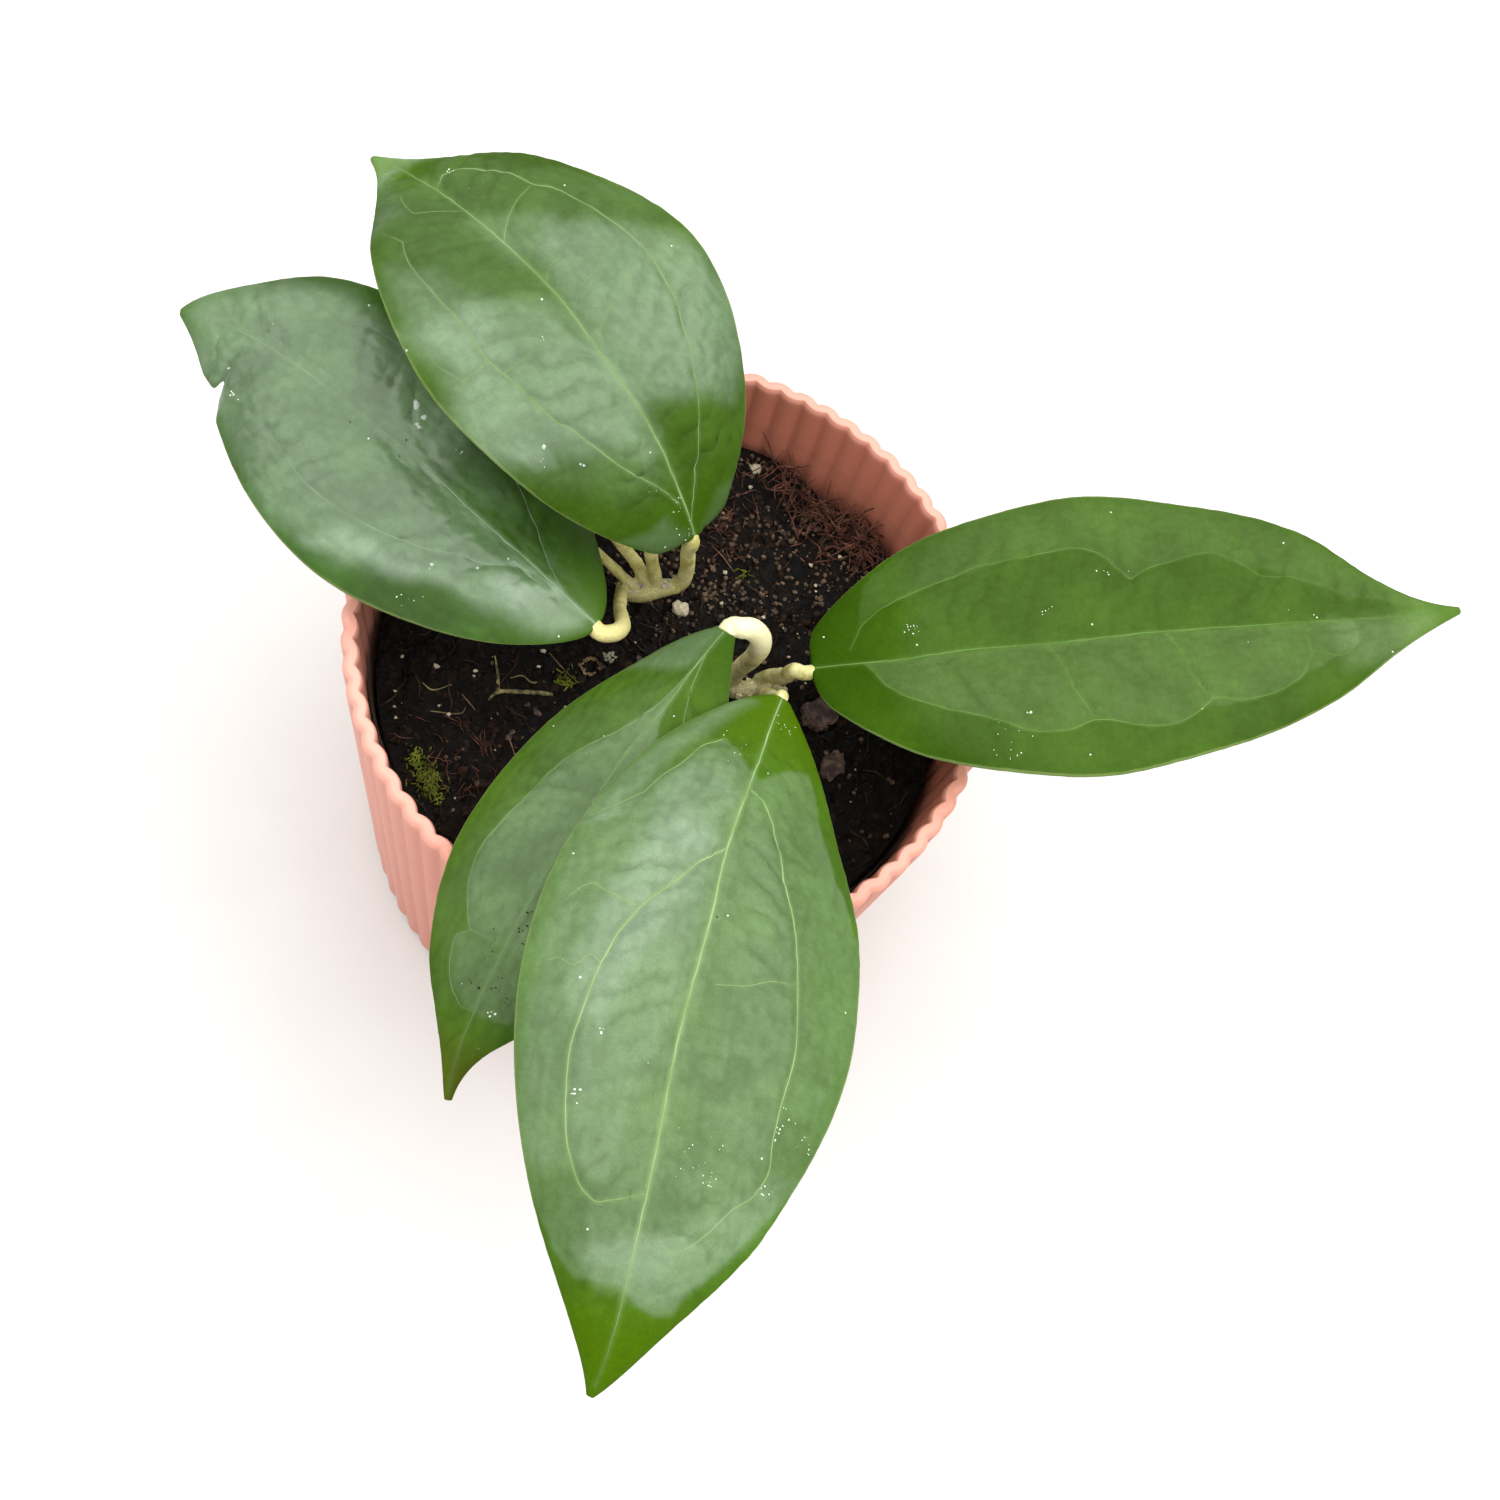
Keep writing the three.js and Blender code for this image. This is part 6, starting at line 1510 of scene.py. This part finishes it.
litter("peat_crumbs_dry", lump("grain_c", 7, (1, 0.8, 0.6), 1), dry_crumb, "soil", drier,
       Density=190000.0, Seed=21, Smallest=0.3, Largest=1.5, Tilt=1.2, Lift=0.0003)
litter("root_threads", thread("thread_a", 3, 5, 0.1), dead_root, "soil", everywhere,
       Density=24000.0, Seed=12, Smallest=0.4, Largest=1.5, Tilt=0.5, Lift=0.0004)
litter("perlite_dust", lump("grain_d", 11, (1, 0.9, 0.8), 2), perlite, "soil", everywhere,
       Density=4200.0, Seed=31, Smallest=0.2, Largest=0.6, Tilt=1.5, Lift=0.0003)
litter("bark_bits", lump("flake_a", 15, (2.2, 1.2, 0.5), 1), pine_bark, "soil", clumps,
       Density=4500.0, Seed=41, Smallest=0.5, Largest=1.3, Tilt=0.8, Lift=0.0001)


def patch(*spots):
    """Weights that are high round the named spots (x, y, reach) of the soil."""
    return sum(np.exp(-((soil_x - x) ** 2 + (soil_y - y) ** 2) / reach ** 2) for x, y,
               reach in spots) * everywhere


litter("coir_tuft", thread("thread_b", 8, 9, 0.13, 0.25), coir, "soil",
       patch((26, 43, 5), (32, 40, 4), (19, 47, 3.5), (12, 50, 3)), Density=1300000.0, Seed=5, Smallest=0.5,
       Largest=1.4, Tilt=1.1, Lift=0.0018)
litter("coir_tuft_small", thread("thread_c", 9, 7, 0.11, 0.22), coir, "soil",
       patch((4.5, 31, 2.4), (0, 37, 4), (-1, 43, 4)) + 0.3 * patch((-25, -32, 7), (-34, -27, 6)),
       Density=500000.0, Seed=6, Smallest=0.4, Largest=1.0, Tilt=0.7, Lift=0.0006)
litter("moss_cushions", thread("sprig", 10, 1.5, 0.16), moss_green, "soil",
       patch((-36.5, -33.5, 2), (-39, -30.5, 1.6), (-34, -36.5, 1.8), (-17.6, -6, 1.6), (18.6, 45.5, 1.5),
             (9.5, 27, 0.9)),
       Density=5000000.0, Seed=7, Smallest=0.6, Largest=1.3, Tilt=1.5, Lift=0.0004)

# %% [markdown]
# Things that the eye finds one by one are listed here: grains of perlite, thin roots and strands, and
# the crusts on the nodes. Each is a route or a handful of grains at named places, in millimetres.

# %% Laid one by one
def strands(name, finish, radius, *routes):
    """Thin strands laid on the soil, each from its lift and its route."""
    points, faces = vine_tubes([(on_soil(route, lift),
                                 [0.6 * radius] + [radius] * (len(route) - 2) + [0.5 * radius], [])
                                for lift, route in routes])
    finish_piece(turn_out(piece(name, points, faces, finish)), "root")


def grains(name, finish, slot, seed, spots, subdivisions=2):
    """Dented grains at (x, y, z, size)."""
    ball = bmesh.new()
    bmesh.ops.create_icosphere(ball, subdivisions=subdivisions, radius=0.5)
    shape = np.array([tuple(v.co) for v in ball.verts])
    corners = [[v.index for v in face.verts] for face in ball.faces]
    ball.free()
    dice = np.random.default_rng(seed)
    points, faces = [], []
    for x, y, z, size in spots:
        shift = Vector(dice.uniform(0, 90, 3))
        dents = np.array([0.95 + 0.7 * noise.noise(Vector(spot) * 2.6 + shift) for spot in shape])
        faces += [[k + len(shape) * len(points) for k in face] for face in corners]
        points.append(shape * dents[:, None] * size * [1, dice.uniform(0.7, 1),
                                                       dice.uniform(0.5, 0.8)] + [x, y, z])
    finish_piece(turn_out(piece(name, np.concatenate(points), faces, finish, smooth=False)), slot)


strands("pale_roots", pale_root, 0.15,
        (0.5, [(-42.8, -16.2), (-40.7, -16.9), (-37.5, -14.6)]),
        (0.5, [(-39.7, -21), (-34.1, -19.1), (-33.8, -17.7)]),
        (0.6, [(-27.6, -9.5), (-25.5, -8.2), (-23.5, -8.9), (-21.2, -7.8)]))
strands("bleached_strands", tan_fibre, 0.11,
        (0.8, [(-22.1, -1.6), (-18.5, -4), (-15.3, -6.3)]),
        (0.7, [(-35.2, -15.7), (-33.5, -16.6), (-31.9, -17.6)]),
        (0.9, [(-24.3, -21.6), (-23.2, -23.2), (-22.1, -24.9)]),
        (0.8, [(1.7, 30.8), (4.1, 29.5), (7.6, 26.5)]), (1.8, [(28, 43.5), (31.5, 43), (34.5, 40)]),
        (1.5, [(30, 40.5), (33.5, 38.5), (37, 37)]), (1.2, [(24, 40), (25.5, 43), (29, 45)]))
DOTS = [(5.8, 45.9, 1), (27, 36.1, 0.9), (21.8, 32.6, 0.8), (5.9, 26.1, 0.9), (23.8, 28.4, 0.7),
        (24.2, 27.1, 0.6), (6.9, 18.8, 0.7), (15.6, 18.4, 0.8), (-48, -12.3, 0.7), (-41.4, -12.2, 1.3),
        (-34.2, -10.4, 0.8), (-47.1, -19.4, 0.7), (-46.3, -22.3, 0.6), (-45.3, -24.3, 0.7),
        (-23.2, -4.9, 0.8), (-23.4, -1.6, 1), (-36.2, -20.4, 0.8), (-15.8, -12.2, 0.7), (22.6, 11.9, 0.7)]
grains("perlite_dots", perlite, "perlite", 2,
       [(x, y, float(soil_height(x, y)) + 0.5, size) for x, y, size in DOTS])
dice = np.random.default_rng(3)
ring = [(-13.5 + dice.uniform(1.6, 2.4) * math.cos(k * 0.27),
         -2.2 + dice.uniform(1.2, 2) * math.sin(k * 0.27))
        for k in range(20)]
grains("crust_ring", earth_crust, "soil", 3,
       [(x, y, float(soil_height(x, y)) + 0.5, dice.uniform(0.5, 1)) for x, y in ring])
scab = [(-10.8 + 1.4 * math.cos(k * 2.4) * math.sqrt(k / 12),
         0.7 + 1.2 * math.sin(k * 2.4) * math.sqrt(k / 12))
        for k in range(12)]
grains("lime_scab", grey_crust, "soil", 4, [(x, y, float(soil_height(x, y)) + 0.4, 0.7) for x, y in scab])


def along_node(start, end, radius, count, seed):
    """Spots on the upper side of a node that runs from start to end."""
    dice = np.random.default_rng(seed)
    spots = []
    for share in dice.uniform(0, 1, count):
        turn = dice.uniform(-1.3, 1.3)
        x, y, z = np.array(start) * (1 - share) + np.array(end) * share
        spots.append((x + radius * 0.3 * math.sin(turn), y - radius * math.sin(turn),
                      z + radius * math.cos(turn), dice.uniform(0.6, 1.3)))
    return spots


grains("node_crust_right", crust, "vine", 5, along_node((13.5, 0.6, 75), (23.5, 3, 75), 2.2, 34, 6))
grains("node_crust_left", grey_crust, "vine", 6, along_node((-13, 14, 75), (-3, 18, 75.6), 2.0, 22, 8))

# %% [markdown]
# On the blades lie dry lime spots, scuffs and a few drops of water, with specks of soil near the tip of
# leaf_front_left. They are small, low domes set on the blade's own surface, so they follow every dent.

# %% Flecks on the blades
# Lime from tap water dries to a dull white film. Water is clear and very glossy; the drops' near-white
# colour is a painted highlight.
lime = plain_finish("dried_lime_film", "#b9c2b0", "#e6eade", 0.7, 1)
soil_speck = plain_finish("soil_speck", "#0f0c08", "#2a2117", 0.9, 1)
water, tree, shader, place = new_material("water_drop")
# The near-white colour stands in for the glint on each drop: a painted highlight.
still = add(tree, "ShaderNodeTexNoise", {}, {"Vector": place, "Scale": 400}).outputs[0]
tint = add(tree, "ShaderNodeMix", {"data_type": "RGBA"},
           {0: still, 6: colour("#dfe9dc"), 7: colour("#f4f8f2")})
tree.links.new(tint.outputs[2], shader.inputs["Base Color"])
shader.inputs["Roughness"].default_value = 0.04
shader.inputs["IOR"].default_value = 1.333
shader.inputs["Alpha"].default_value = 0.4


FLECK_SIDES, FLECK_SUNK = 9, 0.12


def flecks(name, finish, seed, spots):
    """Low ragged domes on the blades, from (leaf, u, v, radius, spread, count), in millimetres."""
    dice = np.random.default_rng(seed)
    points, faces = [], []
    for leaf_name, u, v, radius, spread, count in spots:
        leaf = LEAVES[leaf_name]
        i = int(np.abs(leaf["shares"] - u).argmin())
        j = int(np.abs(leaf["sides"] - v).argmin())
        centre, normal = leaf["sheet"][i, j], leaf["normal"][i, j]
        along = leaf["sheet"][i + 1, j] - leaf["sheet"][i - 1, j]
        along = along / np.linalg.norm(along)
        side = np.cross(normal, along)
        for _ in range(count):
            shift = dice.normal(0, spread, 2)
            i_near = int(np.clip(i + round(shift[0] / leaf["length"] * ROWS), 2, ROWS - 3))
            middle = leaf["sheet"][i_near, j] + side * shift[1]
            size = 0.8 * radius * dice.uniform(0.4, 1.2)
            angle = np.arange(FLECK_SIDES) * 2 * np.pi / FLECK_SIDES
            ragged = size * (1 + dice.uniform(-0.3, 0.3, FLECK_SIDES))
            around = np.outer(np.cos(angle), along) + np.outer(np.sin(angle), side)
            ring = middle + ragged[:, None] * around
            shoulder = middle + 0.55 * (ring - middle) + 0.22 * size * normal
            first = sum(len(p) for p in points)
            points += [ring - FLECK_SUNK * normal, shoulder,
                       [middle + 0.3 * size * normal], [middle - FLECK_SUNK * normal]]
            faces += ring_faces(2, FLECK_SIDES, close_ends=False, first=first)
            above, crown = first + FLECK_SIDES, first + 2 * FLECK_SIDES
            for k in range(FLECK_SIDES):
                faces.append([above + k, above + (k + 1) % FLECK_SIDES, crown])
            for k in range(FLECK_SIDES):
                faces.append([first + (k + 1) % FLECK_SIDES, first + k, crown + 1])
    finish_piece(turn_out(piece(name, np.concatenate(points), faces, finish)), "leaf")


flecks("lime_flecks", lime, 1, [
    ("leaf_top", 0.29, 0.77, 0.16, 1.0, 8), ("leaf_top", 0.83, -0.39, 0.3, 0.3, 4),
    ("leaf_top", 0.025, 0.05, 0.2, 1.6, 16), ("leaf_top", 0.08, 0.06, 0.2, 1.2, 9),
    ("leaf_top", 0.14, 0.3, 0.2, 0.8, 5), ("leaf_top", 0.44, 0.28, 0.25, 0.4, 3),
    ("leaf_left", 0.79, 0.6, 0.25, 0.4, 8), ("leaf_left", 0.29, 0.86, 0.2, 1.0, 16),
    ("leaf_left", 0.838, 0.72, 0.25, 0.25, 5), ("leaf_left", 0.4, -0.24, 0.2, 0.5, 4),
    ("leaf_right", 0.16, 0.24, 0.2, 0.9, 20), ("leaf_right", 0.32, -0.57, 0.4, 0.2, 3),
    ("leaf_right", 0.37, 0.21, 0.25, 0.7, 6), ("leaf_right", 0.77, 0.07, 0.25, 0.6, 5),
    ("leaf_right", 0.27, -0.8, 0.18, 2, 18), ("leaf_right", 0.47, 0.44, 0.25, 1.5, 8),
    ("leaf_front_left", 0.83, 0.23, 0.35, 0.5, 5), ("leaf_front_left", 0.32, -0.89, 0.3, 0.2, 2),
    ("leaf_front_left", 0.3, -0.3, 0.2, 1.6, 5), ("leaf_front", 0.58, -0.47, 0.35, 0.3, 4),
    ("leaf_front", 0.655, -0.58, 0.3, 0.6, 8), ("leaf_front", 0.64, 0.7, 0.25, 1.3, 18),
    ("leaf_front", 0.64, 0.85, 0.15, 1.6, 12), ("leaf_front", 0.72, 0.39, 0.22, 0.8, 8),
    ("leaf_front", 0.7, 0.3, 0.18, 1.8, 14), ("leaf_front", 0.06, 0.2, 0.15, 2, 14),
    ("leaf_front", 0.14, -0.2, 0.15, 2.2, 12), ("leaf_front", 0.72, 0.8, 0.2, 0.8, 6)])
flecks("soil_specks", soil_speck, 2, [
    ("leaf_front_left", 0.65, 0.03, 0.3, 0.4, 3), ("leaf_front_left", 0.68, 0.05, 0.35, 0.5, 4),
    ("leaf_front_left", 0.7, 0.14, 0.4, 0.4, 3), ("leaf_front_left", 0.78, 0.11, 0.28, 0.9, 7),
    ("leaf_front_left", 0.8, 0.35, 0.3, 0.7, 6), ("leaf_front_left", 0.8, -0.21, 0.22, 0.8, 6),
    ("leaf_front_left", 0.73, 0.05, 0.18, 2.5, 10), ("leaf_front", 0.4, 0.05, 0.25, 0.1, 1),
    ("leaf_left", 0.5, 0.2, 0.18, 6, 4)])
flecks("water_drops", water, 3, [
    ("leaf_left", 0.5, -0.29, 0.9, 0.3, 2), ("leaf_left", 0.475, -0.2, 0.8, 0.6, 3),
    ("leaf_left", 0.29, 0.55, 0.6, 0.4, 2),
    ("leaf_left", 0.225, 0.36, 0.8, 0, 1), ("leaf_top", 0.3, 0.71, 0.9, 0.2, 1),
    ("leaf_top", 0.24, 0.6, 0.4, 0.2, 2)])

# %% Finish
size = {"frame": [list(map(float, corner)) for corner in frame_box],
        "visual": [list(map(float, corner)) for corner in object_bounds()]}
print("frame and visual boxes:", size)
